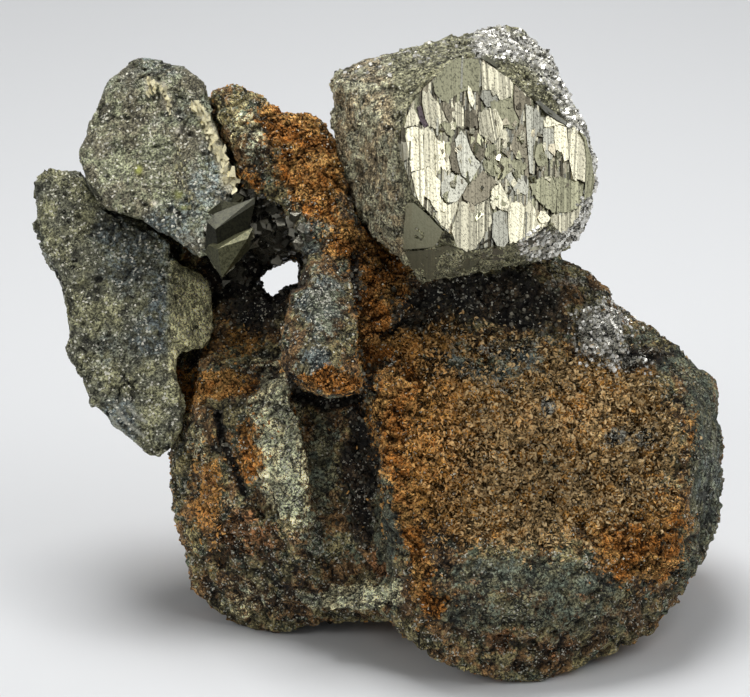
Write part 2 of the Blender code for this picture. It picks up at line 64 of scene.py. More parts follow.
# The front face of the large crystal: the layout place of its middle and how it leans
LARGE_FACE_MIDDLE = (15.0, 24.8, -18.0)
LARGE_FACE_LEAN = (0.36, 0.40)
LARGE_FACE = (
    (4.75, 19.3), (2.9, 25.6), (3.9, 29.6), (5.75, 32.3), (10.4, 36.3), (13.25, 36.3), (17.25, 33.2),
    (22.75, 28.4), (26.4, 26.4), (27.5, 20.8), (25.0, 17.2), (21.6, 15.3), (18.75, 13.6), (12.25, 12.3),
    (8.4, 15.1),
)

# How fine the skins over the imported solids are, in millimetres. The matrix's is twice as fine where it
# faces the viewer by more than MATRIX_FINE_FROM
MATRIX_GRAIN = 0.71
MATRIX_FINE_FROM = 0.05
SLAB_GRAIN = 0.25
LARGE_GRAIN = 0.27


def placed(across, up, depth):
    """Points in the frame, in metres, of these layout places."""
    across, up, depth = np.broadcast_arrays(across, up, depth)
    spread = 1 + depth / VIEW_DISTANCE
    sideways = np.outer(across * spread, VIEW_RIGHT) + np.outer(up * spread, VIEW_UP)
    return (LAYOUT_MIDDLE + (sideways + np.outer(depth, VIEW_AWAY))) * MM


def layout(points):
    """The across, up and depth of points in the frame."""
    offset = points / MM - LAYOUT_MIDDLE
    depth = offset @ VIEW_AWAY
    spread = 1 + depth / VIEW_DISTANCE
    return offset @ VIEW_RIGHT / spread, offset @ VIEW_UP / spread, depth


def on_photo(outline):
    """The layout places, across and up, of pixels of the photograph."""
    return (np.array(outline, float) - PHOTO_MIDDLE) * (1, -1) / PIXELS_PER_MM


# Random patterns that are the same at each run

# Each octave of a noise is turned, finer by OCTAVE_STEP and weaker by OCTAVE_FADE
PATTERN_TURN = np.array(Matrix.Rotation(0.83, 3, Vector((0.4, 0.7, 0.59))))
OCTAVE_STEP = 2.03
OCTAVE_FADE = 0.55


def scrambled(cells, seed):
    """A random number from 0 to 1 for each cell of a grid of whole numbers."""
    mixed = (cells.astype(np.int64) * (73856093, 19349663, 83492791)).sum(-1) + seed * 83492791
    for shift, factor in ((15, 2246822), (13, 3266489), (14, 668265)):
        mixed = ((mixed ^ (mixed >> shift)) * factor) & 0x7FFFFFFF
    return (mixed & 0xFFFFF) / 0x100000


def smooth_noise(scaled, seed):
    """One octave of smooth noise from -1 to 1, whose features are one unit wide."""
    base = np.floor(scaled)
    share = scaled - base
    share = share * share * (3 - 2 * share)
    total = np.zeros(len(scaled))
    for corner in np.ndindex(2, 2, 2):
        weight = np.where(corner, share, 1 - share).prod(axis=1)
        total += weight * scrambled(base + corner, seed)
    return 2 * total - 1


def noise(places, size, seed=0, octaves=1):
    """Smooth noise from -1 to 1 at places in millimetres, its largest features of this size."""
    total = np.zeros(len(places))
    scaled = places / size
    for octave in range(octaves):
        total += smooth_noise(scaled, seed + octave) * OCTAVE_FADE**octave
        scaled = scaled @ PATTERN_TURN * OCTAVE_STEP
    return total / sum(OCTAVE_FADE**octave for octave in range(octaves))


def cells(places, size, seed=0):
    """The distances to the nearest and the next grain middle, in grain sizes, and the nearest middle."""
    scaled = places / size
    base = np.floor(scaled)
    nearest = np.full(len(places), 9.0)
    second = np.full(len(places), 9.0)
    middles = np.zeros_like(scaled)
    for step in np.ndindex(3, 3, 3):
        cell = base + step - 1
        middle = cell + np.stack([scrambled(cell, seed + axis) for axis in range(3)], axis=-1)
        distance = np.linalg.norm(scaled - middle, axis=1)
        closer = distance < nearest
        second = np.where(closer, nearest, np.minimum(second, distance))
        nearest = np.where(closer, distance, nearest)
        middles[closer] = middle[closer]
    return nearest, second, middles


def tilted_grains(places, size, seed=0):
    """Relief like a crust of small flat chips: each grain is a plane that leans its own way."""
    _, _, middles = cells(places, size, seed)
    lean = np.stack([scrambled(np.floor(middles * 64), seed + 7 + axis) for axis in range(3)], axis=-1) - 0.5
    return ((places / size - middles) * lean).sum(axis=1) * 2 + lean[:, 0]


def eased(values, low, high):
    """0 below low, 1 above high and a smooth ramp between."""
    share = np.clip((values - low) / (high - low), 0, 1)
    return share * share * (3 - 2 * share)


def in_patches(across, up, patches):
    """How far places lie in any of the patches, from 0 to 1.

    A patch is its middle and its reach, each across and up, and its strength.
    """
    clear = np.ones(len(across))
    for middle_a, middle_u, reach_a, reach_u, strength in patches:
        far = ((across - middle_a) / reach_a) ** 2 + ((up - middle_u) / reach_u) ** 2
        clear *= 1 - strength * np.exp(-0.7 * far**1.5)
    return 1 - clear


def near_line(across, up, line, reach):
    """How near places lie to a line of straight stretches, from 0 at this reach to 1 on it."""
    here = np.stack([across, up], axis=-1)
    nearest = np.full(len(across), 1e9)
    for start, end in zip(line, line[1:]):
        start = np.array(start)
        run = np.array(end) - start
        share = np.clip((here - start) @ run / (run @ run), 0, 1)
        nearest = np.minimum(nearest, np.linalg.norm(here - start - share[:, None] * run, axis=1))
    return 1 - eased(nearest, 0.25 * reach, reach)


# Mesh helpers


def link(name, data):
    """A mesh, lamp or camera as an object of the scene."""
    piece = bpy.data.objects.new(name, data)
    bpy.context.scene.collection.objects.link(piece)
    return piece


def settle_modifiers(piece):
    """Turns the piece as its modifiers show it into a plain mesh."""
    graph = bpy.context.evaluated_depsgraph_get()
    mesh = bpy.data.meshes.new_from_object(piece.evaluated_get(graph))
    piece.modifiers.clear()
    piece.data = mesh


def merged_copy(node):
    """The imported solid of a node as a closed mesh."""
    bm = bmesh.new()
    bm.from_mesh(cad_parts[node].data)
    bmesh.ops.remove_doubles(bm, verts=bm.verts, dist=1e-7)
    mesh = bpy.data.meshes.new(node + "_skin")
    bm.to_mesh(mesh)
    bm.free()
    return mesh


def even_skin(name, node, grain, smoothing):
    """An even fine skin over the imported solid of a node, its facets softened."""
    piece = link(name, merged_copy(node))
    remesh = piece.modifiers.new("even", "REMESH")
    remesh.mode = "VOXEL"
    remesh.voxel_size = grain * MM
    soften = piece.modifiers.new("soften", "SMOOTH")
    soften.factor = 0.5
    soften.iterations = smoothing
    settle_modifiers(piece)
    return piece


def points_of(mesh):
    """The mesh's points, one row each."""
    points = np.empty(len(mesh.vertices) * 3, np.float32)
    mesh.vertices.foreach_get("co", points)
    return points.reshape(-1, 3).astype(float)


def normals_of(mesh):
    """Which way the mesh faces at each of its points."""
    normals = np.empty(len(mesh.vertices) * 3, np.float32)
    mesh.vertex_normals.foreach_get("vector", normals)
    return normals.reshape(-1, 3).astype(float)


def move_points(mesh, points):
    """Puts the mesh's points at these places."""
    mesh.vertices.foreach_set("co", points.astype(np.float32).ravel())
    mesh.update()


def store(mesh, name, values):
    """Keeps one number for each point of the mesh, for its material and what grows on it."""
    layer = mesh.attributes.get(name) or mesh.attributes.new(name, "FLOAT", "POINT")
    layer.data.foreach_set("value", np.asarray(values, np.float32))


def above_floor(points):
    """The points with none below the surface that the specimen rests on."""
    return np.maximum(points, (-np.inf, -np.inf, 0.0))


def finished_piece(piece, finish, slot, *nodes):
    """Gives a piece its finish and its body, and hides the solids that it stands for. The slot is not used."""
    piece.data.materials.clear()
    piece.data.materials.append(finish)
    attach(piece, "root")
    if nodes:
        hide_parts(*nodes)
    return piece


# Node helpers, for materials and geometry alike

# The middle of random colours
MIDDLE_GREY = (0.5, 0.5, 0.5)


def add(tree, kind, inputs=None, **settings):
    """Adds a node with these settings. An input is a number or colour, or another node's output."""
    node = tree.nodes.new(kind)
    for key, value in settings.items():
        setattr(node, key, value)
    for key, value in (inputs or {}).items():
        if isinstance(value, bpy.types.NodeSocket):
            tree.links.new(value, node.inputs[key])
        else:
            node.inputs[key].default_value = value
    return node


def maths(tree, operation, *values):
    """A number worked out from other numbers."""
    return add(tree, "ShaderNodeMath", dict(enumerate(values)), operation=operation).outputs[0]


def product(tree, first, second):
    """One number times another."""
    return maths(tree, "MULTIPLY", first, second)


def weighted(tree, value, weight, start):
    """start, and as much as value times weight over it."""
    return maths(tree, "MULTIPLY_ADD", value, weight, start)


def vector(tree, operation, inputs):
    """A vector or colour worked out from others."""
    return add(tree, "ShaderNodeVectorMath", inputs, operation=operation).outputs[0]


def scaled_vector(tree, value, factor):
    """A vector or colour times this factor."""
    return vector(tree, "SCALE", {0: value, 3: factor})


def rest(tree, value):
    """What is left of 1 beside a share."""
    return maths(tree, "SUBTRACT", 1.0, value)


def about_zero(tree, pattern):
    """A pattern from 0 to 1, moved to lie about zero."""
    return maths(tree, "SUBTRACT", pattern, 0.5)


def ramp(tree, value, low, high, start=0.0, end=1.0):
    """Start below low, end above high and a smooth ramp between."""
    inputs = {0: value, 1: low, 2: high, 3: start, 4: end}
    return add(tree, "ShaderNodeMapRange", inputs, interpolation_type="SMOOTHSTEP").outputs[0]


def blended(tree, share, below, above, mode="MIX"):
    """The colour above over the colour below, by this share."""
    inputs = {0: share, 6: below, 7: above}
    return add(tree, "ShaderNodeMix", inputs, data_type="RGBA", blend_type=mode).outputs[2]


def pattern_noise(tree, size, detail=3.0, stretch=None, roughness=0.6):
    """Noise with features of this size in millimetres. stretch scales it along X, Y and Z."""
    place = add(tree, "ShaderNodeTexCoord").outputs["Object"]
    if stretch:
        place = vector(tree, "MULTIPLY", {0: place, 1: stretch})
    inputs = {"Vector": place, "Scale": 1 / (size * MM), "Detail": detail, "Roughness": roughness}
    return add(tree, "ShaderNodeTexNoise", inputs).outputs["Fac"]


def pattern_cells(tree, size):
    """The random colours of a pattern of grains of this size in millimetres."""
    place = add(tree, "ShaderNodeTexCoord").outputs["Object"]
    return add(tree, "ShaderNodeTexVoronoi", {"Vector": place, "Scale": 1 / (size * MM)}).outputs["Color"]


def stored(tree, name):
    """The number that the mesh keeps under this name."""
    return add(tree, "ShaderNodeAttribute", attribute_name=name).outputs["Fac"]


def bump(tree, height, strength, distance, normal=None):
    """A bumpy normal, whose bumps are this many millimetres high."""
    inputs = {"Strength": strength, "Distance": distance * MM, "Height": height}
    if normal:
        inputs["Normal"] = normal
    return add(tree, "ShaderNodeBump", inputs).outputs[0]


def glinting_normal(tree, grain, turn, height, strength, distance):
    """A normal that each grain turns its own way, so that grains flash one by one, with a bump over it."""
    random_turn = vector(tree, "SUBTRACT", {0: pattern_cells(tree, grain), 1: MIDDLE_GREY})
    turned = scaled_vector(tree, random_turn, turn)
    own = add(tree, "ShaderNodeNewGeometry").outputs["Normal"]
    normal = vector(tree, "NORMALIZE", {0: vector(tree, "ADD", {0: own, 1: turned})})
    return bump(tree, height, strength, distance, normal)


def new_finish(name):
    """A new material, its nodes and its shader."""
    material = bpy.data.materials.new(name)
    material.use_nodes = True
    return material, material.node_tree, material.node_tree.nodes["Principled BSDF"]


def feed(tree, shader, **values):
    """Sets the shader's inputs, by names with _ for a space."""
    for key, value in values.items():
        socket = shader.inputs[key.replace("_", " ")]
        if isinstance(value, bpy.types.NodeSocket):
            tree.links.new(value, socket)
        else:
            socket.default_value = value


# Colours

OLIVE_CRUST = (0.240, 0.205, 0.095, 1)
BROWNISH_CRUST = (0.200, 0.115, 0.045, 1)
GREENISH_CRUST = (0.120, 0.140, 0.090, 1)
TAN_FLAKES = (0.400, 0.270, 0.120, 1)
ORANGE_FLAKES = (0.330, 0.170, 0.045, 1)
RUST = (0.300, 0.120, 0.026, 1)
RUST_LIGHT = (0.440, 0.250, 0.080, 1)
RED_RUST = (0.240, 0.120, 0.052, 1)
RED_RUST_DARK = (0.120, 0.070, 0.038, 1)
PALE_CRUST = (0.640, 0.580, 0.350, 1)
PALE_GREEN_CRUST = (0.420, 0.430, 0.280, 1)
BLUE_STEEL = (0.115, 0.135, 0.125, 1)
GREEN_STEEL = (0.160, 0.172, 0.115, 1)
GREEN_GREY = (0.105, 0.122, 0.088, 1)
OLIVE_GREY = (0.135, 0.128, 0.072, 1)
# The dark crust's colours, which also paint shade and shadow
DEEP_DARK_AND_SHADOW = (0.016, 0.014, 0.010, 1)
DEEP_BROWN_AND_SHADOW = (0.050, 0.034, 0.018, 1)
SILVER_GREY = (0.260, 0.255, 0.220, 1)
SILVER_DARK = (0.060, 0.060, 0.050, 1)
SILVER_PYRITE = (0.700, 0.680, 0.580, 1)
# The left slab's striped right side, lighter than the slab as painted light, since that side is turned away
# from the lamps
STRIPED_SIDE_PAINTED_LIGHT = (0.85, 0.80, 0.46, 1)
SIDE_GROOVES_PAINTED_LIGHT = (0.42, 0.41, 0.23, 1)
BRIGHT_FLAKE = (0.90, 0.84, 0.70, 1)
YELLOW_SPOT = (0.42, 0.44, 0.08, 1)
SIDE_PYRITE = (0.28, 0.27, 0.17, 1)
SIDE_DULL = (0.43, 0.415, 0.285, 1)
SIDE_BROWN = (0.40, 0.330, 0.205, 1)
SIDE_SILVER = (0.58, 0.57, 0.50, 1)
FACE_GROUND = (0.20, 0.17, 0.10, 1)

# The matrix's patches: middle across and up, reach across and up, strength
RUST_PATCHES = (
    # The ridge's top and its right flank down to the wall behind
    (-8.8, 24.8, 3.4, 5.0, 1.0), (-6.9, 19.8, 2.8, 3.4, 1.0), (-3.8, 13.6, 2.6, 2.8, 0.9),
    (1.2, 9.8, 3.2, 4.0, 1.0), (0.2, 2.3, 2.2, 5.0, 0.9), (-5.2, -4.0, 3.6, 1.8, 0.9),
    (-11.6, 27.6, 1.8, 2.0, 0.7),
    # The strip along the block's left edge
    (1.8, -9.5, 2.2, 5.0, 0.9), (3.8, -18.9, 1.8, 5.0, 0.9), (5.4, -26.4, 1.8, 4.0, 0.8),
    (7.0, -32.0, 2.2, 2.4, 0.7), (4.4, -5.0, 2.6, 3.4, 0.8),
    # The tongue, the left mass and the hump
    (-20.5, -4.4, 5.0, 1.7, 1.0), (-15.6, -13.3, 1.7, 3.4, 0.9), (-13.4, 29.6, 1.7, 1.4, 0.6),
    (-15.8, 20.6, 1.8, 1.6, 0.6), (-23.2, -6.0, 1.6, 1.6, 0.7),
    # Spots on the block's lower right and its rim
    (31.9, -25.2, 5.0, 3.6, 0.9), (36.5, -21.0, 2.6, 3.6, 0.6), (39.4, -10.0, 1.2, 2.6, 0.5),
    (37.0, -27.0, 2.0, 1.6, 0.6),
)
BROWN_PATCHES = (
    (11.9, -5.2, 10.0, 6.4, 1.0), (24.0, -9.6, 11.0, 8.6, 1.0), (17.6, -17.0, 13.0, 6.4, 1.0),
    (31.6, -11.0, 5.0, 7.0, 0.9), (9.4, -14.0, 6.2, 7.5, 1.0), (6.0, 1.0, 4.6, 3.4, 0.8),
    (30.0, -20.0, 6.0, 4.5, 0.8), (-17.0, 1.2, 3.0, 1.6, 0.5), (-21.0, -18.0, 1.8, 6.0, 0.6),
)
# Pale crust; the first three patches, on the column's front, are partly painted highlight
PALE_AND_HIGHLIGHT_PATCHES = (
    (-12.5, -8.8, 2.7, 3.8, 0.9), (-11.7, -14.2, 3.0, 5.0, 1.0), (-9.8, -19.8, 2.0, 3.0, 0.6),
    (-3.4, -31.2, 5.6, 1.5, 1.0), (-19.0, -20.5, 2.2, 4.0, 0.28), (-15.8, -31.6, 4.4, 2.4, 0.4),
    (-14.0, -11.4, 1.8, 2.4, 0.7), (2.0, -30.6, 2.0, 1.2, 0.7), (-15.6, 27.6, 3.6, 4.6, 0.4),
    (-13.6, -4.6, 2.0, 3.6, 0.6), (-22.0, -12.0, 1.6, 3.0, 0.5), (-17.0, -25.0, 6.0, 6.0, 0.12),
)
RED_PATCHES = (
    (0.2, -27.0, 0.9, 1.6, 0.8), (15.6, -36.4, 3.0, 1.4, 0.6), (23.0, -37.6, 2.8, 1.1, 0.55),
    (12.6, -28.4, 1.8, 0.9, 0.45), (-21.2, -17.4, 1.0, 3.0, 0.5), (-16.4, -23.6, 5.4, 4.4, 0.55),
    (26.0, -30.4, 2.2, 0.9, 0.4),
)
BLUE_PATCHES = (
    (-15.2, 24.6, 2.6, 3.4, 0.5), (18.6, -1.2, 3.6, 2.6, 0.6), (29.8, -1.0, 3.4, 1.6, 0.5),
    (9.5, -1.0, 2.6, 2.0, 0.6), (13.5, -3.4, 3.2, 2.0, 0.6), (29.4, -27.4, 4.0, 1.6, 0.5),
    (15.5, -27.5, 4.0, 2.0, 0.4), (41.8, -16.0, 1.4, 6.0, 0.5), (-13.4, 3.6, 2.2, 1.4, 0.4),
    (-8.4, 14.6, 2.6, 2.0, 0.9), (-6.6, 5.6, 2.8, 3.4, 0.9), (-7.0, -1.0, 2.4, 2.0, 0.7),
    (22.0, -14.0, 2.0, 1.6, 0.4), (-7.6, -23.5, 1.6, 3.6, 0.6),
)
# The grey-green band along the block's foot and its right rim, and the strips beside the groove
STEEL_PATCHES = (
    (17.0, -27.8, 7.0, 2.2, 0.9), (27.0, -29.6, 5.0, 2.0, 0.8), (22.0, -33.5, 9.0, 3.0, 0.6),
    (11.0, -33.0, 3.6, 4.0, 0.5), (41.0, -9.5, 2.2, 9.0, 0.9), (37.4, -1.6, 3.4, 1.6, 0.9),
    (42.0, -20.0, 2.0, 6.0, 0.9), (38.5, -27.0, 2.4, 3.4, 0.7), (33.0, 2.0, 2.0, 1.6, 0.6),
    (1.2, -24.0, 1.6, 6.0, 0.9), (-6.4, -14.0, 2.2, 7.0, 0.7), (2.0, -18.5, 1.2, 5.0, 0.7),
)
# Dark crust, and painted shade: the shadow below the large crystal's overhang, the cavity, the groove beside
# the column, the shadow below the ridge's foot and other hollows
SHADOW_AND_DARK_PATCHES = (
    (14.4, 6.6, 9.4, 3.2, 1.0), (-15.6, 10.0, 5.6, 7.4, 1.0), (-1.8, -14.0, 1.9, 7.0, 0.9),
    (-5.6, -7.4, 3.6, 0.8, 0.8), (5.6, 4.4, 3.0, 2.2, 0.7), (33.5, -0.6, 4.2, 1.3, 0.8),
    (-22.6, -2.8, 1.2, 2.0, 0.8), (22.4, 3.4, 3.4, 1.6, 0.6), (-1.6, -22.0, 1.4, 3.0, 0.6),
)
# Where the small silver cubes grow, and where larger dark crystals line the cavity
DRUSE_PATCHES = ((28.0, 1.8, 3.0, 3.4, 1.0), (31.4, -1.8, 2.6, 1.0, 0.8), (-15.4, 15.4, 2.8, 2.4, 0.4))
CAVITY_CRYSTALS = ((-15.5, 15.6, 3.8, 3.0, 1.0), (-16.6, 11.2, 2.2, 2.4, 0.7), (-11.6, 13.8, 2.4, 2.4, 0.8))
# Silver-grey crust
SILVER_PATCHES = (
    (-8.4, 14.8, 2.2, 1.4, 0.4), (-6.6, 6.6, 2.2, 2.2, 0.45), (28.2, 1.8, 3.2, 3.4, 1.0),
    (24.4, 8.8, 3.0, 1.0, 0.5), (31.4, -1.6, 2.4, 1.2, 0.6), (-15.4, 15.4, 3.4, 3.2, 0.7),
    (14.5, -0.6, 2.4, 1.0, 0.5), (16.2, -4.8, 1.6, 1.0, 0.5), (22.0, -6.6, 1.3, 1.5, 0.9),
    (30.4, -11.6, 1.8, 1.2, 0.7), (34.0, -11.0, 1.4, 1.6, 0.6), (31.6, -16.4, 1.0, 0.9, 0.6),
)

# The pale streak down the upper slab, as a line of places across and up
UPPER_STREAK = ((-22.4, 30.5), (-21.0, 28.2), (-19.9, 25.4), (-18.9, 22.7), (-18.2, 20.1))
CREAM = (1.0, 0.92, 0.60)
YELLOWISH = (0.62, 0.58, 0.34)
# Bands of bright flakes on the upper slab: the line on the photograph, how many flakes, their reach and how
# far they stray in pixels, and their colour
FLAKE_BANDS = (
    (((193, 103), (202, 112), (209, 128), (214, 144), (222, 158), (230, 172), (234, 190)),
     90, (1.8, 5.5), 3.4, CREAM),
    (((148, 79), (152, 87), (150, 96)), 12, (1.4, 3.8), 2.2, CREAM),
    (((160, 85), (166, 96), (170, 111)), 18, (1.4, 3.8), 2.0, CREAM),
    (((149, 201), (153, 206)), 3, (1.2, 3.2), 0.8, CREAM),
    (((172, 147), (179, 160), (185, 172)), 9, (1.0, 2.8), 3.5, YELLOWISH),
    (((179, 178), (186, 192), (190, 206)), 9, (1.0, 2.8), 4.0, YELLOWISH),
)
# How these flakes lean, so that they catch the light, and how proud of the slab they are
LIGHT_LEAN = (0.75, 0.70)
FLAKE_PROUD = 0.30
# Bright and yellow spots on the upper slab
BRIGHT_SPOTS = (
    (-28.3, 32.8, 0.45, 0.9, 0.9), (-27.6, 33.2, 0.5, 0.35, 0.9), (-26.4, 32.4, 0.4, 0.8, 0.9),
    (-26.0, 30.9, 0.5, 0.9, 0.9), (-27.6, 18.2, 0.35, 0.3, 1.0), (-24.6, 27.2, 0.3, 0.3, 0.7),
)
YELLOW_SPOTS = ((-29.5, 22.3, 0.4, 0.5, 1.0), (-24.5, 19.2, 0.6, 0.5, 0.5), (-23.8, 17.6, 0.6, 0.3, 0.5))
# Pale scratches on the left slab
LEFT_SCRATCHES = (
    ((-32.6, -7.0), (-31.6, -8.6), (-30.2, -10.0), (-28.9, -10.9)),
    ((-32.9, -8.6), (-32.0, -10.0), (-30.8, -11.2)),
    ((-30.8, -7.2), (-29.8, -8.4), (-28.6, -9.2)),
)


# The matrix

# The crusts: each one's patches where it shows, and how much of the hidden side it covers. The dark patches
# are partly painted shade, and the pale ones partly painted highlight
MASK_LISTS = {
    "rust": (RUST_PATCHES, 0.35),
    "brown": (BROWN_PATCHES, 0.30),
    "pale": (PALE_AND_HIGHLIGHT_PATCHES, 0.10),
    "red": (RED_PATCHES, 0.10),
    "blue": (BLUE_PATCHES, 0.15),
    "dark": (SHADOW_AND_DARK_PATCHES, 0.25),
    "silver": (SILVER_PATCHES, 0.12),
    "steel": (STEEL_PATCHES, 0.12),
}
# Lines cut into the relief and painted dark as painted shade, each with its reach: the crack in the left mass,
# the shadow below the ridge's foot, the groove on the ridge's right and the one below the wall behind
SHADE_LINES = (
    (((-19.6, -8.0), (-18.9, -12.0), (-17.6, -15.0), (-16.6, -18.0)), 0.7),
    (((-10.7, -3.8), (-9.6, -6.0), (-6.2, -7.1), (-2.0, -6.1)), 1.1),
    (((-2.4, 11.5), (-1.8, 5.0), (-1.2, -1.5), (-0.6, -5.0)), 0.9),
    (((1.0, 1.5), (3.6, 3.4), (6.0, 3.0)), 0.8),
)
# Where the crusts are darker or lighter than elsewhere: middle, reach and how much is taken off or put on. The
# lift at -6.6, -13.0 is painted light in the hollow beside the column
TONE_AND_PAINTED_LIGHT_PATCHES = (
    (1.2, 11.0, 4.0, 4.4, -0.45), (-1.4, 17.6, 2.4, 4.0, -0.35), (1.4, 2.0, 2.6, 4.0, -0.2),
    (-6.6, -13.0, 2.6, 7.5, 0.7), (-15.8, 26.6, 3.8, 5.4, 0.62), (6.6, -9.0, 3.4, 7.0, 0.15),
    (24.0, -8.6, 6.0, 4.0, 0.30), (14.0, -10.0, 7.0, 5.0, 0.20), (16.0, -2.0, 8.0, 2.6, 0.35),
    (-17.0, -21.0, 7.0, 6.0, 0.25), (-22.5, -26.0, 3.0, 5.0, 0.35), (-18.0, -13.0, 3.4, 3.6, 0.25),
    (20.0, -19.0, 7.0, 2.6, -0.2),
)
# The size of chance changes of tone and of the patches on the hidden side, and how far the patches' borders
# wander, in millimetres
TONE_SIZE = 6.5
HIDDEN_PATCH = 8.0
PATCH_WANDER = 1.7
# The share of grains that grow on the hidden side
HIDDEN_SHARE = 0.25
# The line round the window through the cavity, which no crust narrows
WINDOW_RIM = (
    (-14.3, 9.0), (-12.3, 10.0), (-9.0, 11.2), (-9.2, 8.4), (-11.0, 8.15), (-12.4, 6.3), (-13.5, 6.9),
    (-14.3, 9.0),
)
# Where the rock's own flat faces show: the ridge, the column, the tongue, the foot, the right rim and the
# left mass
SMOOTH_PATCHES = (
    (-6.8, 5.2, 4.0, 7.0, 1.0), (-6.6, -12.0, 4.0, 8.0, 0.8), (-20.0, -4.6, 5.0, 2.2, 0.8),
    (17.0, -29.5, 12.0, 5.0, 0.7), (41.0, -9.5, 2.6, 12.0, 0.8), (-19.0, -16.0, 6.0, 8.0, 0.4),
)


def matrix_masks(points, normals):
    """Where each crust lies, with the painted shade of the dark one: in its patches on the side that the
    photograph shows, elsewhere by chance.
    """
    places = points / MM
    straight_a, straight_u, _ = layout(points)
    across = straight_a + PATCH_WANDER * noise(places, 2.6, 11, 2)
    up = straight_u + PATCH_WANDER * noise(places, 2.6, 13, 2)
    front = eased(-(normals @ VIEW_AWAY), -0.25, 0.15)
    masks = {}
    for index, (name, (patches, cover)) in enumerate(MASK_LISTS.items()):
        hidden = eased(noise(places, HIDDEN_PATCH, 31 + index, 3), 0.5 - cover - 0.15, 0.5 - cover + 0.1)
        masks[name] = front * in_patches(across, up, patches) + (1 - front) * hidden
    wobble = 0.35 * noise(places, 1.5, 15, 2)
    lines = [near_line(straight_a + wobble, straight_u, line, reach) for line, reach in SHADE_LINES]
    masks["lines"] = front * np.max(lines, axis=0)
    # The lines join the dark mask: painted shade in the crack and the groove, painted shadow below the ridge's
    # foot and the wall
    masks["dark"] = np.maximum(masks["dark"], masks["lines"])
    masks["front"] = front
    masks["warm"] = 1 - eased(across, 5, 15)
    tone = 1 + 0.30 * noise(places, TONE_SIZE, 17, 2)
    for middle_a, middle_u, reach_a, reach_u, change in TONE_AND_PAINTED_LIGHT_PATCHES:
        tone *= 1 + change * front * in_patches(across, up, ((middle_a, middle_u, reach_a, reach_u, 1.0),))
    masks["tone"] = tone
    return masks


def ledges(points, places):
    """Low steps on the lower right, which run across it."""
    across, up, _ = layout(points)
    climb = (up + 0.22 * across) / 2.6 + 0.9 * noise(places, 4.0, 41, 3)
    step = climb - np.floor(climb)
    there = eased(across, 7, 12) * (1 - eased(up, -24.5, -22))
    return there * 0.4 * (eased(step, 0, 0.85) - eased(step, 0.85, 1.0) - 0.4)


def matrix_relief(points, masks):
    """How far the matrix's crusts stand out, in millimetres."""
    places = points / MM
    broad = 0.55 * noise(places, 4.6, 1, 3)
    nearest, second, _ = cells(places, 2.4, 21)
    relief = broad - 0.42 * (1 - eased(second - nearest, 0.0, 0.2))
    lumps, _, _ = cells(places, 1.25, 22)
    relief += masks["rust"] * (0.30 * (0.45 - lumps) + 0.30 * tilted_grains(places, 0.85, 28))
    relief += masks["brown"] * (0.42 * tilted_grains(places, 1.7, 23) + 0.3 * tilted_grains(places, 0.95, 24))
    relief += masks["dark"] * 0.5 * tilted_grains(places, 1.5, 25)
    relief += masks["silver"] * 0.4 * tilted_grains(places, 1.15, 26)
    plain = 1 - np.clip(masks["rust"] + masks["brown"] + masks["dark"] + masks["silver"], 0, 1)
    relief += plain * 0.38 * tilted_grains(places, 1.3, 27)
    relief += ledges(points, places)
    across, up, _ = layout(points)
    relief *= 1 - 0.6 * in_patches(across, up, SMOOTH_PATCHES) * masks["front"]
    return relief - 0.6 * near_line(across, up, WINDOW_RIM, 1.3) - 0.7 * masks["lines"]


def finer_where_seen(mesh, least_facing):
    """Splits each face that looks towards the viewer in four, where the detail shows."""
    bm = bmesh.new()
    bm.from_mesh(mesh)
    toward = Vector(-VIEW_AWAY)
    edges = {edge for face in bm.faces if face.normal.dot(toward) > least_facing for edge in face.edges}
    bmesh.ops.subdivide_edges(bm, edges=list(edges), cuts=1, use_grid_fill=True)
    bm.to_mesh(mesh)
    bm.free()
    mesh.update()


def store_growth(mesh, points, masks):
    """Keeps where each kind of grain grows on the matrix, fewer of them on the hidden side."""
    seen = HIDDEN_SHARE + (1 - HIDDEN_SHARE) * masks["front"]
    places = points / MM
    across, up, _ = layout(points)
    druse = in_patches(across + noise(places, 1.6, 62), up + noise(places, 1.6, 63), DRUSE_PATCHES)
    druse *= eased(noise(places, 1.1, 61, 2), -0.30, 0.15)
    bare = np.prod([1 - masks[name] for name in ("rust", "blue", "steel", "dark", "silver")], axis=0)
    cavity = in_patches(across, up, CAVITY_CRYSTALS) * (1 - near_line(across, up, WINDOW_RIM, 2.2))
    store(mesh, "rust_grains", seen * masks["rust"])
    store(mesh, "brown_grains", seen * masks["brown"] * bare)
    # Dark grains grow over the whole dark mask, in its painted shadow and shade too
    store(mesh, "dark_grains", seen * masks["dark"])
    store(mesh, "cavity", masks["front"] * cavity)
    store(mesh, "silver_grains", seen * druse)


def matrix_skin():
    """The matrix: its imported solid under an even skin, with the relief of its crusts."""
    piece = even_skin("rust_crusted_matrix", "matrix", MATRIX_GRAIN, 1)
    mesh = piece.data
    finer_where_seen(mesh, MATRIX_FINE_FROM)
    points = points_of(mesh)
    normals = normals_of(mesh)
    masks = matrix_masks(points, normals)
    relief = matrix_relief(points, masks)
    standing = eased(points[:, 2] / MM, 0.0, 1.5)
    move_points(mesh, above_floor(points + normals * (relief * standing * MM)[:, None]))
    for name, values in masks.items():
        store(mesh, name, values)
    store(mesh, "relief", relief)
    store_growth(mesh, points, masks)
    return piece


# The slabs

# Where the random patterns of the two slabs start
UPPER_SEED = 61
LEFT_SEED = 81


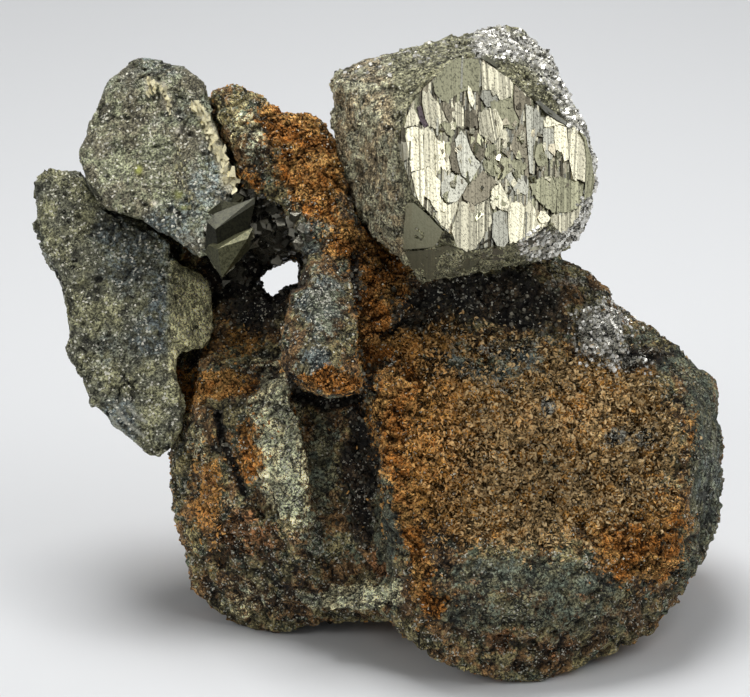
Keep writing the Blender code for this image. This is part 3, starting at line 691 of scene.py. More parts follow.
def slab_relief(places, rim, striped, seed):
    """How far a slab's face stands out, in millimetres: chips, coarser at the rim, pits and cracks."""
    pits, _, _ = cells(places, 1.5, seed)
    deep = scrambled(np.floor(places / 1.5), seed + 5) > 0.6
    relief = 0.10 * noise(places, 2.4, seed + 1, 3) + 0.10 * tilted_grains(places, 0.9, seed + 2)
    relief += (0.14 + 0.3 * rim) * tilted_grains(places, 2.9, seed + 9)
    relief *= 1 - 0.65 * striped
    relief -= 0.3 * deep * (1 - eased(pits, 0.1, 0.4))
    flow = places * (1.0, 1.0, 0.30) + 0.8 * noise(places, 2.0, seed + 6)[:, None]
    nearest, second, _ = cells(flow, 3.4, seed + 3)
    broken = eased(noise(places, 4.0, seed + 7, 2), -0.05, 0.35)
    return relief - 0.24 * broken * (1 - eased(second - nearest, 0.0, 0.05))


def slab_marks(node, across, up, wide):
    """The streaks, bright spots and yellow spots of a slab's front."""
    if node == "upper_left_crystal":
        streak = near_line(across, up, UPPER_STREAK, wide)
        return streak, in_patches(across, up, BRIGHT_SPOTS), in_patches(across, up, YELLOW_SPOTS)
    scratches = [near_line(across, up, line, 0.3) for line in LEFT_SCRATCHES]
    none = np.zeros(len(across))
    return np.max(scratches, axis=0), none, none


def slab_skin(name, node, seed):
    """A slab-like crystal: flat sides, finely pitted and cracked, with a glitter of small facets."""
    piece = even_skin(name, node, SLAB_GRAIN, 2)
    mesh = piece.data
    points = points_of(mesh)
    normals = normals_of(mesh)
    places = points / MM
    across, up, _ = layout(points)
    rim = 1 - eased(abs(normals @ VIEW_AWAY), 0.55, 0.9)
    striped = eased(across, -26.4, -25.0) * (up < 11) * eased(up, -5.5, -2.5) * (node == "left_crystal")
    relief = slab_relief(places, rim, striped, seed)
    standing = eased(points[:, 2] / MM, 0.0, 1.0)
    move_points(mesh, above_floor(points + normals * (relief * standing * MM)[:, None]))
    front = eased(-(normals @ VIEW_AWAY), 0.0, 0.3)
    streak, spot, yellow = slab_marks(node, across, up, 1.0 + 0.5 * noise(places, 1.2, seed + 8))
    store(mesh, "relief", relief)
    store(mesh, "patch", eased(noise(places, 5.5, seed + 4, 2), -0.1, 0.5))
    store(mesh, "streak", streak * front)
    store(mesh, "spot", spot * front)
    store(mesh, "yellow", yellow * front)
    store(mesh, "striped", striped)
    return piece


# The large crystal and the mosaic of plates on its front face

# How deep the skin is sunk below the plates, how thick the plates are and the gap round each, in millimetres
FACE_RECESS = 0.45
PLATE_DEPTH = 0.9
PLATE_SHRINK = 0.03
# Lines on the large crystal, across and up: its silvery right edge, the crust below its face and its top edge
SILVER_EDGE = ((14.0, 38.2), (19.6, 37.4), (24.2, 32.4), (26.8, 26.2), (27.2, 20.0))
LOWER_CRUST = ((19.6, 13.2), (22.6, 12.6), (25.6, 14.6), (27.4, 18.4))
TOP_EDGE = ((-4.6, 34.0), (4.0, 36.2), (12.0, 38.4))


def face_depth(across, up):
    """The depth of the large crystal's front face at places across and up."""
    middle_a, middle_u, middle_d = LARGE_FACE_MIDDLE
    lean_a, lean_u = LARGE_FACE_LEAN
    return middle_d + lean_a * (across - middle_a) + lean_u * (up - middle_u)


def inside_outline(across, up, outline):
    """Which places lie inside a closed outline."""
    inside = np.zeros(len(across), bool)
    for (a0, u0), (a1, u1) in zip(outline, outline[1:] + outline[:1]):
        crosses = (u0 > up) != (u1 > up)
        with np.errstate(divide="ignore", invalid="ignore"):
            inside ^= crosses & (across < a0 + (up - u0) * (a1 - a0) / (u1 - u0))
    return inside


def large_skin():
    """The large crystal: grainy, stepped sides, and its front face sunk to hold the plates."""
    piece = even_skin("large_crystal_body", "large_crystal", LARGE_GRAIN, 2)
    mesh = piece.data
    points = points_of(mesh)
    normals = normals_of(mesh)
    places = points / MM
    across, up, depth = layout(points)
    facing = normals @ VIEW_AWAY < -0.5
    on_face = facing & inside_outline(across, up, LARGE_FACE) & (abs(depth - face_depth(across, up)) < 1.2)
    steps = 0.34 * tilted_grains(places, 1.9, 51) + 0.24 * tilted_grains(places, 0.85, 52)
    relief = steps + 0.14 * noise(places, 2.2, 53, 2)
    relief[on_face] = 0.2 * tilted_grains(places[on_face], 0.8, 54)
    moved = points + normals * (relief * MM)[:, None]
    sunk = placed(across, up, face_depth(across, up) + FACE_RECESS)
    moved[on_face] = sunk[on_face] + normals[on_face] * (relief[on_face] * MM)[:, None]
    move_points(mesh, moved)
    store(mesh, "face", on_face)
    edge = near_line(across, up, SILVER_EDGE, 2.6)
    crust = near_line(across, up, LOWER_CRUST, 2.4)
    front = eased(-(normals @ VIEW_AWAY), 0.0, 0.3)
    top = near_line(across, up, TOP_EDGE, 2.2)
    # The relief kept for the finish's painted shade is lowered along the top edge, which darkens the colour
    # there
    store(mesh, "relief", relief - 0.10 * top)
    store(mesh, "silver", np.maximum(np.maximum(edge, crust), 0.05 * top) * front)
    store(mesh, "dull", (1 - eased(across + 0.1 * up, 4.5, 6.0)) * eased(up, 9, 12))
    return piece


# Shine (painted reflection: how light each plate's colour is made, for how much light it throws back),
# stripes' lean in degrees, stripes' strength, tone and outline of each plate, read on the photograph
PALE, BLUISH, OLIVE, BROWNISH, PURPLE = range(5)
TONES = (
    (0.80, 0.76, 0.57), (0.64, 0.635, 0.53), (0.56, 0.55, 0.37), (0.54, 0.49, 0.36), (0.36, 0.29, 0.31),
)
PLATES = (
    (0.42, 0, 0.1, OLIVE, (
        (455, 59), (478, 58.5), (481, 68), (479, 92), (468, 90), (459, 93), (447, 102), (442, 101),
        (434.5, 93),
        (433, 82), (438.5, 73), (447, 65))),
    (0.75, 4, 0.6, PALE, (
        (481, 61), (494, 67.5), (503, 74), (513, 81.5), (512, 97), (500, 100), (494, 90), (482, 90))),
    (0.40, 0, 0.3, BLUISH, ((482, 90), (494, 90), (500, 100), (497, 108), (486, 106), (480, 97))),
    (1.00, 0, 0.2, PALE, (
        (468, 85), (471, 88), (473, 94), (475, 101), (472.5, 108), (469, 101), (467.5, 92))),
    (0.80, 0, 0.7, PALE, ((455, 103), (460, 102), (464, 112), (465, 128), (457, 128), (455, 117))),
    (0.90, 0, 0.5, PALE, ((451, 102), (454, 104), (455.5, 120), (452.5, 117))),
    (0.80, 6, 0.7, PALE, (
        (422.5, 89.5), (431, 95), (438.5, 103), (443, 111.5), (446.5, 120.5), (442, 122), (434.5, 130.5),
        (429, 126), (425, 118), (422, 104))),
    (0.75, 4, 0.5, PALE, ((411, 107), (416.5, 112), (420, 121), (417.5, 125.5), (404, 127.5), (407, 116))),
    (0.25, 0, 0.2, PURPLE, ((417, 106), (421.5, 106), (425, 118), (429, 126), (425, 128), (420, 122))),
    (1.00, 2, 0.6, PALE, (
        (408, 128), (416, 126), (422, 129), (428, 127.5), (433.5, 131.5), (437, 139), (446, 143), (449, 159),
        (451.5, 168.5), (446, 172), (441, 166), (436, 176), (430, 167), (421, 169), (411, 172), (408, 150),
        (405, 135))),
    (1.00, 2, 0.6, PALE, (
        (411, 172), (421, 169), (430, 167), (436, 176), (441, 182), (440, 196), (441, 198), (447, 204),
        (447, 210), (441, 211), (436, 211), (430, 201), (424, 195), (423, 207), (417, 197))),
    (0.80, 0, 0.3, BLUISH, (
        (452, 172), (459, 175), (468.5, 182), (462.5, 194), (458, 201), (448.5, 203), (441.5, 197),
        (441, 183),
        (446, 177))),
    (0.80, 0, 0.5, PALE, (
        (447, 205), (456.5, 202.5), (458, 208), (451, 224), (447.5, 230), (440, 224), (434.5, 215),
        (437.5, 211))),
    (0.85, 0, 0.3, BLUISH, (
        (455, 139), (461.5, 130), (466.5, 137), (471, 150), (476, 159), (481, 163.5), (476, 173),
        (470.5, 182),
        (461, 174.5), (457.5, 160), (456, 146))),
    (0.30, 0, 0.4, BROWNISH, (
        (447, 143), (455.5, 142), (456, 152), (458, 165), (460, 174), (452.5, 171), (450, 160), (448, 150))),
    (0.45, 0, 0.3, BROWNISH, (
        (471, 183), (483, 170), (497, 181), (492, 190), (489, 198), (475, 205), (464, 200), (462.5, 195))),
    (0.70, 0, 0.7, PALE, (
        (459, 202), (464, 201), (475, 206), (489, 199), (490, 209), (492.5, 222), (483, 236), (475.5, 249),
        (467, 251), (456, 246), (451.5, 230), (457, 215))),
    (0.90, 0, 0.3, PALE, (
        (492, 189), (500, 182.5), (504, 190), (510, 204), (507, 210), (503, 211.5), (497, 207), (490, 199))),
    (0.70, 0, 0.3, BLUISH, (
        (512, 168.5), (522.5, 175.5), (525, 182), (529.5, 189), (526, 195), (518, 192.5), (512.5, 189),
        (506, 177))),
    (0.60, 0, 0.5, OLIVE, (
        (499, 160), (505, 157), (513, 160), (522, 160), (524, 170), (523, 175), (512, 168), (506, 176),
        (500, 181), (497, 178), (500, 168))),
    (0.55, 0, 0.15, BLUISH, (
        (493, 213), (500, 210), (507, 212), (508.5, 242), (504, 247.5), (497, 246), (492, 237))),
    (0.80, -4, 0.7, PALE, (
        (508, 207), (513, 200.5), (519.5, 201), (525, 207.5), (530, 200), (535, 209), (537, 218), (550, 220),
        (545, 226), (526.5, 241), (509.5, 242), (507.5, 225))),
    (1.00, 0, 0.2, PALE, ((540, 211), (545, 211), (551, 218), (548, 222), (541, 224), (537.5, 218))),
    (0.65, 0, 0.5, OLIVE, (
        (530, 186), (538, 177), (553, 176), (557, 190), (556, 213), (547, 209), (536, 199))),
    (0.65, 0, 0.6, OLIVE, (
        (553, 176), (566, 178), (578, 180), (581, 190), (583, 201), (576, 210), (563, 213), (556.5, 213),
        (557.5, 190))),
    (0.60, 0, 0.6, PALE, (
        (552, 214.5), (563, 214), (576, 211), (582, 204), (579, 216), (570, 227), (562, 233), (553, 226),
        (550.5, 220))),
    (0.85, -3, 0.6, PALE, (
        (568, 126), (578, 129.5), (584, 140), (586, 160), (585, 182), (581, 181), (573, 179), (569, 160))),
    (0.45, -6, 0.3, OLIVE, (
        (579, 130), (586, 137), (592, 160), (594.5, 180), (592, 195), (584, 201), (585.5, 182), (586.5, 160),
        (584.5, 140))),
    (1.00, 0, 0.3, PALE, (
        (554.5, 125.5), (560, 124.5), (566.5, 127), (568, 145), (569, 160), (564.5, 161.5), (562, 152),
        (556, 150), (554, 138))),
    (0.90, 0, 0.1, PALE, (
        (542, 112.5), (548, 115.5), (557, 121), (566, 126), (560, 124), (554, 126), (549, 127), (544, 127))),
    (0.70, 0, 0.5, BLUISH, (
        (543, 128), (549, 128), (553.5, 128), (554, 150), (552, 160), (546, 158), (543, 145))),
    (0.50, 0, 0.3, OLIVE, (
        (536, 146), (541, 142), (546, 150), (548, 162), (544, 167), (538, 166), (534.5, 158))),
    (0.60, 0, 0.7, BLUISH, (
        (525.5, 104), (532, 106), (540, 113), (542, 125), (537, 135), (533, 150), (533, 175), (529.5, 172),
        (528, 150), (526.5, 130))),
    (0.45, 0, 0.5, BROWNISH, (
        (516, 131), (521, 124), (526, 128), (528, 150), (526, 158), (518, 160), (510, 150), (513, 140))),
    (0.45, 0, 0.4, OLIVE, (
        (490, 101), (500, 100), (512, 97.5), (514, 110), (520, 121), (514, 130), (505, 127), (497, 120),
        (491, 112))),
    (0.40, 0, 0.4, BROWNISH, (
        (514.5, 84), (521, 90), (527, 98), (532, 105), (525, 104), (520, 120), (515, 110), (513.5, 95))),
    (0.75, 10, 0.8, PALE, (
        (478, 112), (486, 108), (497, 110), (503, 122), (502, 135), (495, 142), (487, 140), (479, 132))),
    (0.35, 0, 0.6, BROWNISH, ((465, 110), (473, 110), (477, 113), (478, 128), (470, 129), (465.5, 127))),
    (0.55, 0, 0.4, OLIVE, ((441, 123), (446.5, 121.5), (452, 126), (455, 134), (451, 138), (446, 133))),
    (0.35, 0, 0.4, BROWNISH, (
        (447, 103), (451, 104), (453, 118), (455, 126), (450, 123), (446.5, 118), (443.5, 110))),
    (0.35, 0, 0.5, BROWNISH, (
        (467, 131), (478, 130), (484, 141), (487, 155), (481, 162), (475, 156), (470, 146))),
    (0.50, 0, 0.4, OLIVE, (
        (487, 143), (495, 144), (499, 152), (497, 162), (500, 168), (497, 178), (490, 175), (484, 168),
        (482.5, 162), (488, 155))),
    (0.70, 0, 0.5, PALE, (
        (497, 131), (505, 129), (510, 137), (507, 148), (500, 155), (495, 145), (499, 138))),
)
# Smooth facets beside the front face, which lie on the crystal's own sides, with the same columns; their shine
# is painted reflection too
SIDE_PLATES = (
    (0.80, 0, 0.1, OLIVE, (
        (406.5, 202.5), (414, 202.5), (430, 217), (443, 231), (438, 242), (433, 247.5), (403, 250),
        (403.5, 228))),
    (0.40, 0, 0.2, OLIVE, (
        (404, 252), (433, 249), (447, 245), (456, 248), (470, 252), (480, 260), (470, 270), (440, 277),
        (427, 280), (412, 268))),
    (0.40, 0, 0.2, BROWNISH, (
        (482, 243), (490, 237), (494, 248), (503, 250), (505, 258), (492, 262), (482, 258))),
    (0.20, 0, 0.1, BROWNISH, ((527, 242), (549, 226), (548, 238), (540, 243), (530, 246))),
    (0.90, 0, 0.1, PALE, ((528, 246), (540, 243.5), (546, 243), (544, 249), (530, 251))),
    (0.30, 0, 0.1, OLIVE, ((480, 58), (482, 53.5), (492, 54), (500, 62), (497, 68), (488, 62))),
    (0.35, 0, 0.1, BLUISH, (
        (535, 101), (540, 101), (553, 111), (566, 122), (567, 125.5), (556, 119.5), (545, 112))),
    (0.60, 0, 0.5, PALE, ((398, 143), (407, 141), (409.5, 158), (401.5, 162), (399, 150))),
)


# The strips that a plate is cut into, in millimetres: their widths, how their tops step, how they tilt and
# how far their ends shift
STRIP_WIDTHS = (0.09, 0.32)
STRIP_STEP = 0.04
STRIP_TILT = 0.11
STRIP_SHIFT = 0.14
# How the plates step and tilt
PLATE_STEP = 0.15
PLATE_TILT = 0.035
# The chips between the plates: how many, where on the photograph, their reach in pixels and how they tilt
CHIPS = 110
CHIP_MIDDLE = (492, 158)
CHIP_SPREAD = (34, 28)
CHIP_REACH = (2.0, 5.5)
CHIP_TILT = 0.22
# The striated ground below the plates, in millimetres
GROUND_WIDTHS = (0.13, 0.34)
GROUND_LENGTHS = (1.0, 4.2)
GROUND_STEP = 0.07
GROUND_DEPTH = 0.16
# How proud of the crystal the facets beside its face are
SIDE_PROUD = 0.50
# Where the random draws of the plates, the side facets, the olive faces and the bright flakes start
MOSAIC_SEED = 5
SIDE_SEED = 6
OLIVE_SEED = 9
FLAKE_SEED = 12


def strips_of(outline, lean, widths, rng):
    """An outline cut into strips, each a ring of places across and up. A lean of 0 degrees is upright."""
    bm = bmesh.new()
    bm.faces.new([bm.verts.new((a, u, 0)) for a, u in outline])
    cross = Vector((math.cos(math.radians(lean)), math.sin(math.radians(lean)), 0))
    reach = [vert.co.dot(cross) for vert in bm.verts]
    line = min(reach) + rng.uniform(*widths)
    while line < max(reach) - widths[0]:
        geometry = [*bm.verts, *bm.edges, *bm.faces]
        bmesh.ops.bisect_plane(bm, geom=geometry, dist=1e-5, plane_co=cross * line, plane_no=cross)
        line += rng.uniform(*widths)
    rings = [[(vert.co.x, vert.co.y) for vert in face.verts] for face in bm.faces if face.calc_area() > 1e-4]
    bm.free()
    return [np.array(ring) for ring in rings]


def add_prism(parts, ring, depth, shade):
    """Adds one crisp prism whose top has this ring and depth."""
    points, faces, colours = parts
    if np.cross(ring - ring[0], np.roll(ring, -1, axis=0) - ring[0]).sum() < 0:
        ring, depth = ring[::-1], depth[::-1]
    first, count = len(points), len(ring)
    points.extend(placed(ring[:, 0], ring[:, 1], depth))
    points.extend(placed(ring[:, 0], ring[:, 1], depth + PLATE_DEPTH))
    top = list(range(first, first + count))
    faces.append(top)
    faces.append([index + count for index in reversed(top)])
    for here, there in zip(top, top[1:] + top[:1]):
        faces.append([there, here, here + count, there + count])
    colours.extend([(*shade, 1)] * (2 * count))


def add_plate(parts, plate, depth_at, rng):
    """Adds one plate: strips side by side, whose tops step and tilt a little and differ in painted shine."""
    painted_shine, lean, stripes, tone, outline = plate
    outline = on_photo(outline)
    middle = outline.mean(axis=0)
    spread = np.linalg.norm(outline - middle, axis=1).mean()
    outline = middle + (outline - middle) * (1 - PLATE_SHRINK / spread)
    cross = np.array((math.cos(math.radians(lean)), math.sin(math.radians(lean))))
    along = np.array((-cross[1], cross[0]))
    tilt = rng.normal(0, PLATE_TILT, 2)
    lift = rng.uniform(-PLATE_STEP, 0.2 * PLATE_STEP)
    for ring in strips_of(outline, lean, STRIP_WIDTHS, rng):
        ring = ring + along * rng.normal(0, STRIP_SHIFT) * stripes
        offset = (ring - ring.mean(axis=0)) @ cross * rng.normal(0, STRIP_TILT) * (0.2 + stripes)
        step = rng.normal(0, STRIP_STEP) * (0.3 + stripes)
        ground = depth_at(*ring.T)
        if ground is None:
            continue
        depth = ground + lift + step + offset + (ring - middle) @ tilt
        # Painted reflection: the shine sets how light the plate's colour is
        brightness = painted_shine * (1 + stripes * rng.uniform(-0.75, 0.30))
        add_prism(parts, ring, depth, np.array(TONES[tone]) * brightness)


def add_ground(parts, rng):
    """Adds the striated ground between the plates: short upright strips, each in its own shade."""
    for strip in strips_of(LARGE_FACE, -2, GROUND_WIDTHS, rng):
        for ring in strips_of(strip, 90, GROUND_LENGTHS, rng):
            middle = ring.mean(axis=0)
            offset = (ring - middle)[:, 0] * rng.normal(0, STRIP_TILT)
            depth = face_depth(*ring.T) + GROUND_DEPTH + rng.normal(0, GROUND_STEP) + offset
            tone = TONES[rng.choice((PALE, OLIVE, BROWNISH, BLUISH))]
            add_prism(parts, ring, depth, np.array(tone) * rng.uniform(0.10, 0.68))


def depth_on(node, proud):
    """Gives the depth of a solid's front at places across and up, less a little to stand proud of it."""
    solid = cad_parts[node].data
    corners = [vert.co for vert in solid.vertices]
    tree = BVHTree.FromPolygons(corners, [tuple(face.vertices) for face in solid.polygons])
    eye = Vector(placed(0, 0, -VIEW_DISTANCE + 0.001)[0])

    def depth_at(across, up):
        """The depth at each place, or None where the solid isn't behind any of them."""
        hits = [tree.ray_cast(eye, (Vector(place) - eye).normalized())[0] for place in placed(across, up, 0)]
        found = [hit for hit in hits if hit is not None]
        if not found:
            return None
        fallback = found[0]
        points = np.array([fallback if hit is None else hit for hit in hits])
        return layout(points)[2] - proud

    return depth_at


def mosaic():
    """The bright plates of the large crystal, as one mesh of crisp prisms."""
    rng = np.random.default_rng(MOSAIC_SEED)
    parts = ([], [], [])
    add_ground(parts, rng)
    for plate in PLATES:
        add_plate(parts, plate, face_depth, rng)
    for _ in range(CHIPS):
        ring = on_photo(chip(rng.normal(CHIP_MIDDLE, CHIP_SPREAD), CHIP_REACH, rng))
        if inside_outline(*ring.T, LARGE_FACE).all():
            offset = (ring - ring.mean(axis=0)) @ rng.normal(0, CHIP_TILT, 2)
            depth = face_depth(*ring.T) - rng.uniform(0.02, 0.22) + offset
            tone = TONES[rng.choice((PALE, OLIVE, BROWNISH))]
            add_prism(parts, ring, depth, np.array(tone) * rng.uniform(0.3, 1.1))
    return plates_mesh("mirror_plates", parts)


def side_facets():
    """The smooth facets beside the large crystal's front face."""
    rng = np.random.default_rng(SIDE_SEED)
    parts = ([], [], [])
    depth_at = depth_on("large_crystal", SIDE_PROUD)
    for plate in SIDE_PLATES:
        add_plate(parts, plate, depth_at, rng)
    return plates_mesh("side_facets", parts)


# The small olive crystals at the upper slab's lower corner, each by its corners across, up and deep

OLIVE_CRYSTALS = (
    # The wedge at the slab's corner
    ((-20.9, 15.8, -12.6), (-20.0, 16.8, -11.8), (-15.1, 18.8, -10.4), (-15.1, 18.0, -11.4),
     (-19.9, 14.9, -13.7),
     (-16.2, 13.6, -11.8), (-19.1, 9.6, -13.2), (-21.2, 12.6, -11.8), (-19.0, 13.0, -6.0),
     (-17.0, 15.0, -6.0)),
    # The pointed one in front of it: the bright edge along its top, its tip and its root
    ((-20.8, 12.9, -13.2), (-15.3, 15.1, -12.0), (-16.0, 13.7, -13.1), (-19.6, 12.5, -14.5),
     (-19.1, 8.9, -13.8),
     (-15.8, 12.4, -12.3), (-21.2, 12.1, -12.0), (-19.0, 13.0, -6.0), (-17.0, 14.0, -6.0)),
    # The flat one behind it
    ((-20.9, 17.0, -11.4), (-19.2, 18.3, -10.8), (-16.6, 18.2, -9.8), (-16.2, 17.0, -10.2),
     (-19.0, 16.2, -11.6),
     (-18.6, 17.0, -6.0)),
    # The upright one beside the streak
    ((-17.4, 19.4, -9.2), (-16.5, 18.9, -8.8), (-16.9, 17.2, -9.4), (-18.4, 15.4, -10.6),
     (-19.1, 16.0, -10.4),
     (-17.9, 17.8, -10.2), (-18.0, 17.4, -6.0)),
)
# Their colour, how light each one is, how proud of the slab they are and the edges that count as flat, in
# radians. The wedge is made dark as painted shade, so that it sinks into the shadowed cavity
OLIVE_FACE = (0.12, 0.118, 0.064)
OLIVE_SHADES = (0.22, 1.3, 0.35, 0.7)
OLIVE_PROUD = 0.10
OLIVE_FLATNESS = 0.30


def olive_crystals():
    """Crisp faces for the small crystals, a little proud of the slab's skin, each face in its own shade."""
    rng = np.random.default_rng(OLIVE_SEED)
    bm = bmesh.new()
    layer = bm.verts.layers.float_color.new("plate_colour")
    for corners, brightness in zip(OLIVE_CRYSTALS, OLIVE_SHADES):
        points = placed(*np.array(corners).T)
        away = points - points.mean(axis=0)
        away *= OLIVE_PROUD * MM / np.linalg.norm(away, axis=1)[:, None]
        hull = bmesh.new()
        for point in points + away:
            hull.verts.new(point)
        made = bmesh.ops.convex_hull(hull, input=hull.verts)
        loose = [piece for piece in made["geom_interior"] if isinstance(piece, bmesh.types.BMVert)]
        bmesh.ops.delete(hull, geom=loose, context="VERTS")
        bmesh.ops.dissolve_limit(hull, angle_limit=OLIVE_FLATNESS, verts=hull.verts, edges=hull.edges)
        bmesh.ops.recalc_face_normals(hull, faces=hull.faces)
        for face in hull.faces:
            shade = (*(np.array(OLIVE_FACE) * brightness * rng.uniform(0.6, 1.3)), 1)
            corners_of_face = [bm.verts.new(vert.co) for vert in face.verts]
            for vert in corners_of_face:
                vert[layer] = shade
            bm.faces.new(corners_of_face)
        hull.free()
    mesh = bpy.data.meshes.new("olive_crystals")
    bm.to_mesh(mesh)
    bm.free()
    return link("olive_crystals", mesh)


def plates_mesh(name, parts):
    """One mesh of the prisms, with each one's colour and painted shine."""
    points, faces, colours = parts
    mesh = bpy.data.meshes.new(name)
    mesh.from_pydata([tuple(point) for point in points], [], faces)
    layer = mesh.attributes.new("plate_colour", "FLOAT_COLOR", "POINT")
    layer.data.foreach_set("color", np.array(colours, np.float32).ravel())
    return link(name, mesh)


def chip(middle, reach, rng):
    """A small jagged outline, a little taller than wide, in photo pixels."""
    turns = np.sort(rng.uniform(0, 2 * math.pi, 6))
    spokes = rng.uniform(*reach) * rng.uniform(0.7, 1.2, 6)
    return middle + np.stack([0.8 * spokes * np.cos(turns), 1.3 * spokes * np.sin(turns)], axis=-1)


def upper_flakes():
    """The bright flakes on the upper slab's face and along its edge."""
    rng = np.random.default_rng(FLAKE_SEED)
    parts = ([], [], [])
    depth_at = depth_on("upper_left_crystal", FLAKE_PROUD)
    for line, count, reach, stray, tint in FLAKE_BANDS:
        line = np.array(line, float)
        for span in np.linspace(0, len(line) - 1.001, count):
            start, run = line[int(span)], line[int(span) + 1] - line[int(span)]
            middle = start + run * (span % 1) + rng.normal(0, stray, 2) * (1.0, 0.5)
            ring = on_photo(chip(middle, reach, rng))
            lean = np.array(LIGHT_LEAN) + rng.normal(0, 0.25, 2)
            ground = depth_at(*ring.T)
            if ground is not None:
                depth = ground.mean() + rng.normal(0, 0.12) + (ring - ring.mean(axis=0)) @ lean
                add_prism(parts, ring, depth, np.array(tint) * rng.uniform(0.6, 1.0))
    return plates_mesh("bright_flakes", parts)


# Grains that grow on the skins

GRAIN_SOCKETS = (
    ("Surface", "NodeSocketGeometry", None), ("Where", "NodeSocketString", ""),
    ("Grains per square metre", "NodeSocketFloat", 1e5), ("Smallest", "NodeSocketFloat", 0.0003),
    ("Largest", "NodeSocketFloat", 0.0008), ("Flatness", "NodeSocketFloat", 1.0),
    ("Least lean", "NodeSocketFloat", 0.0), ("Lean", "NodeSocketFloat", 3.14),
    ("Roughness", "NodeSocketFloat", 0.3), ("Cubes", "NodeSocketBool", False),
    ("Seed", "NodeSocketInt", 0), ("Finish", "NodeSocketMaterial", None),
)
# A grain before it gets its size: a lump of this radius or a cube of this side
LUMP_RADIUS = 0.5
CUBE_SIDE = 0.8
# How far grains lean sideways, as a share of their lean, and the size of what roughens them, in millimetres
SIDE_LEAN = 0.4
JUMBLE_SIZE = 0.45

# How grains lean off the surface, least and most, in radians
ANY_WAY = (0.0, 3.14)
HALF_WAY = (0.0, 1.5)
ON_EDGE = (0.9, 2.1)
# What grows on the rock: the piece, its finish, its seed, where it grows, how many to the square
# millimetre, the smallest and the largest in millimetres, how flat they are, their lean, how rough they are
# and whether they are cubes
ROCK_GROWTHS = (
    ("rust_crumbs", "rust_grains", 1, "rust_grains", 5.0, (0.15, 0.45), 0.6, ANY_WAY, 0.35, False),
    ("brown_flakes", "brown_flakes", 2, "brown_grains", 10.5, (0.22, 0.70), 0.17, ON_EDGE, 0.35, False),
    ("silver_crumbs", "silver_grains", 3, "silver_grains", 9.0, (0.14, 0.52), 0.8, HALF_WAY, 0.1, True),
    ("dark_crumbs", "dark_grains", 4, "dark_grains", 1.2, (0.25, 0.6), 1.0, HALF_WAY, 0.1, True),
    ("cavity_crystals", "cavity_crystals", 6, "cavity", 1.8, (0.6, 1.7), 1.0, ANY_WAY, 0.25, True),
)
EDGE_GROWTH = ("edge_crumbs", "silver_grains", 5, "silver", 6.0, (0.20, 0.60), 1.0, HALF_WAY, 0.1, True)


def drawn(tree, low, high, seed):
    """A random number between low and high for each grain."""
    return add(tree, "FunctionNodeRandomValue", {2: low, 3: high, "Seed": seed}, data_type="FLOAT").outputs[1]


def triple(tree, first, second, third):
    """A vector of three numbers."""
    return add(tree, "ShaderNodeCombineXYZ", {0: first, 1: second, 2: third}).outputs[0]


def grain_shape(tree, cubes):
    """A lump, or a small cube."""
    lump = add(tree, "GeometryNodeMeshUVSphere", {"Radius": LUMP_RADIUS, "Segments": 5, "Rings": 2})
    cube = add(tree, "GeometryNodeMeshCube", {"Size": (CUBE_SIDE, CUBE_SIDE, CUBE_SIDE)})
    inputs = {"Switch": cubes, "False": lump.outputs["Mesh"], "True": cube.outputs["Mesh"]}
    return add(tree, "GeometryNodeSwitch", inputs, input_type="GEOMETRY").outputs[0]


def grain_turn(tree, given, normal):
    """How each grain is turned: upright on the surface, and then leaned and turned by chance."""
    upright = add(tree, "FunctionNodeAlignRotationToVector", {"Vector": normal}, axis="Z").outputs[0]
    sideways = product(tree, given["Lean"], SIDE_LEAN)
    low = triple(tree, given["Least lean"], product(tree, sideways, -1.0), -math.pi)
    high = triple(tree, given["Lean"], sideways, math.pi)
    inputs = {0: low, 1: high, "Seed": given["Seed"]}
    turn = add(tree, "FunctionNodeRandomValue", inputs, data_type="FLOAT_VECTOR").outputs[0]
    own = add(tree, "FunctionNodeEulerToRotation", {0: turn}).outputs[0]
    inputs = {"Rotation": upright, "Rotate By": own}
    return add(tree, "FunctionNodeRotateRotation", inputs, rotation_space="LOCAL").outputs[0]


def roughened(tree, grains, given):
    """The grains with their corners moved about."""
    place = add(tree, "GeometryNodeInputPosition").outputs[0]
    inputs = {"Vector": place, "Scale": 1 / (JUMBLE_SIZE * MM), "Detail": 0.0}
    jumble = add(tree, "ShaderNodeTexNoise", inputs)
    centred = vector(tree, "SUBTRACT", {0: jumble.outputs["Color"], 1: MIDDLE_GREY})
    offset = scaled_vector(tree, centred, product(tree, given["Largest"], given["Roughness"]))
    return add(tree, "GeometryNodeSetPosition", {"Geometry": grains, "Offset": offset}).outputs[0]


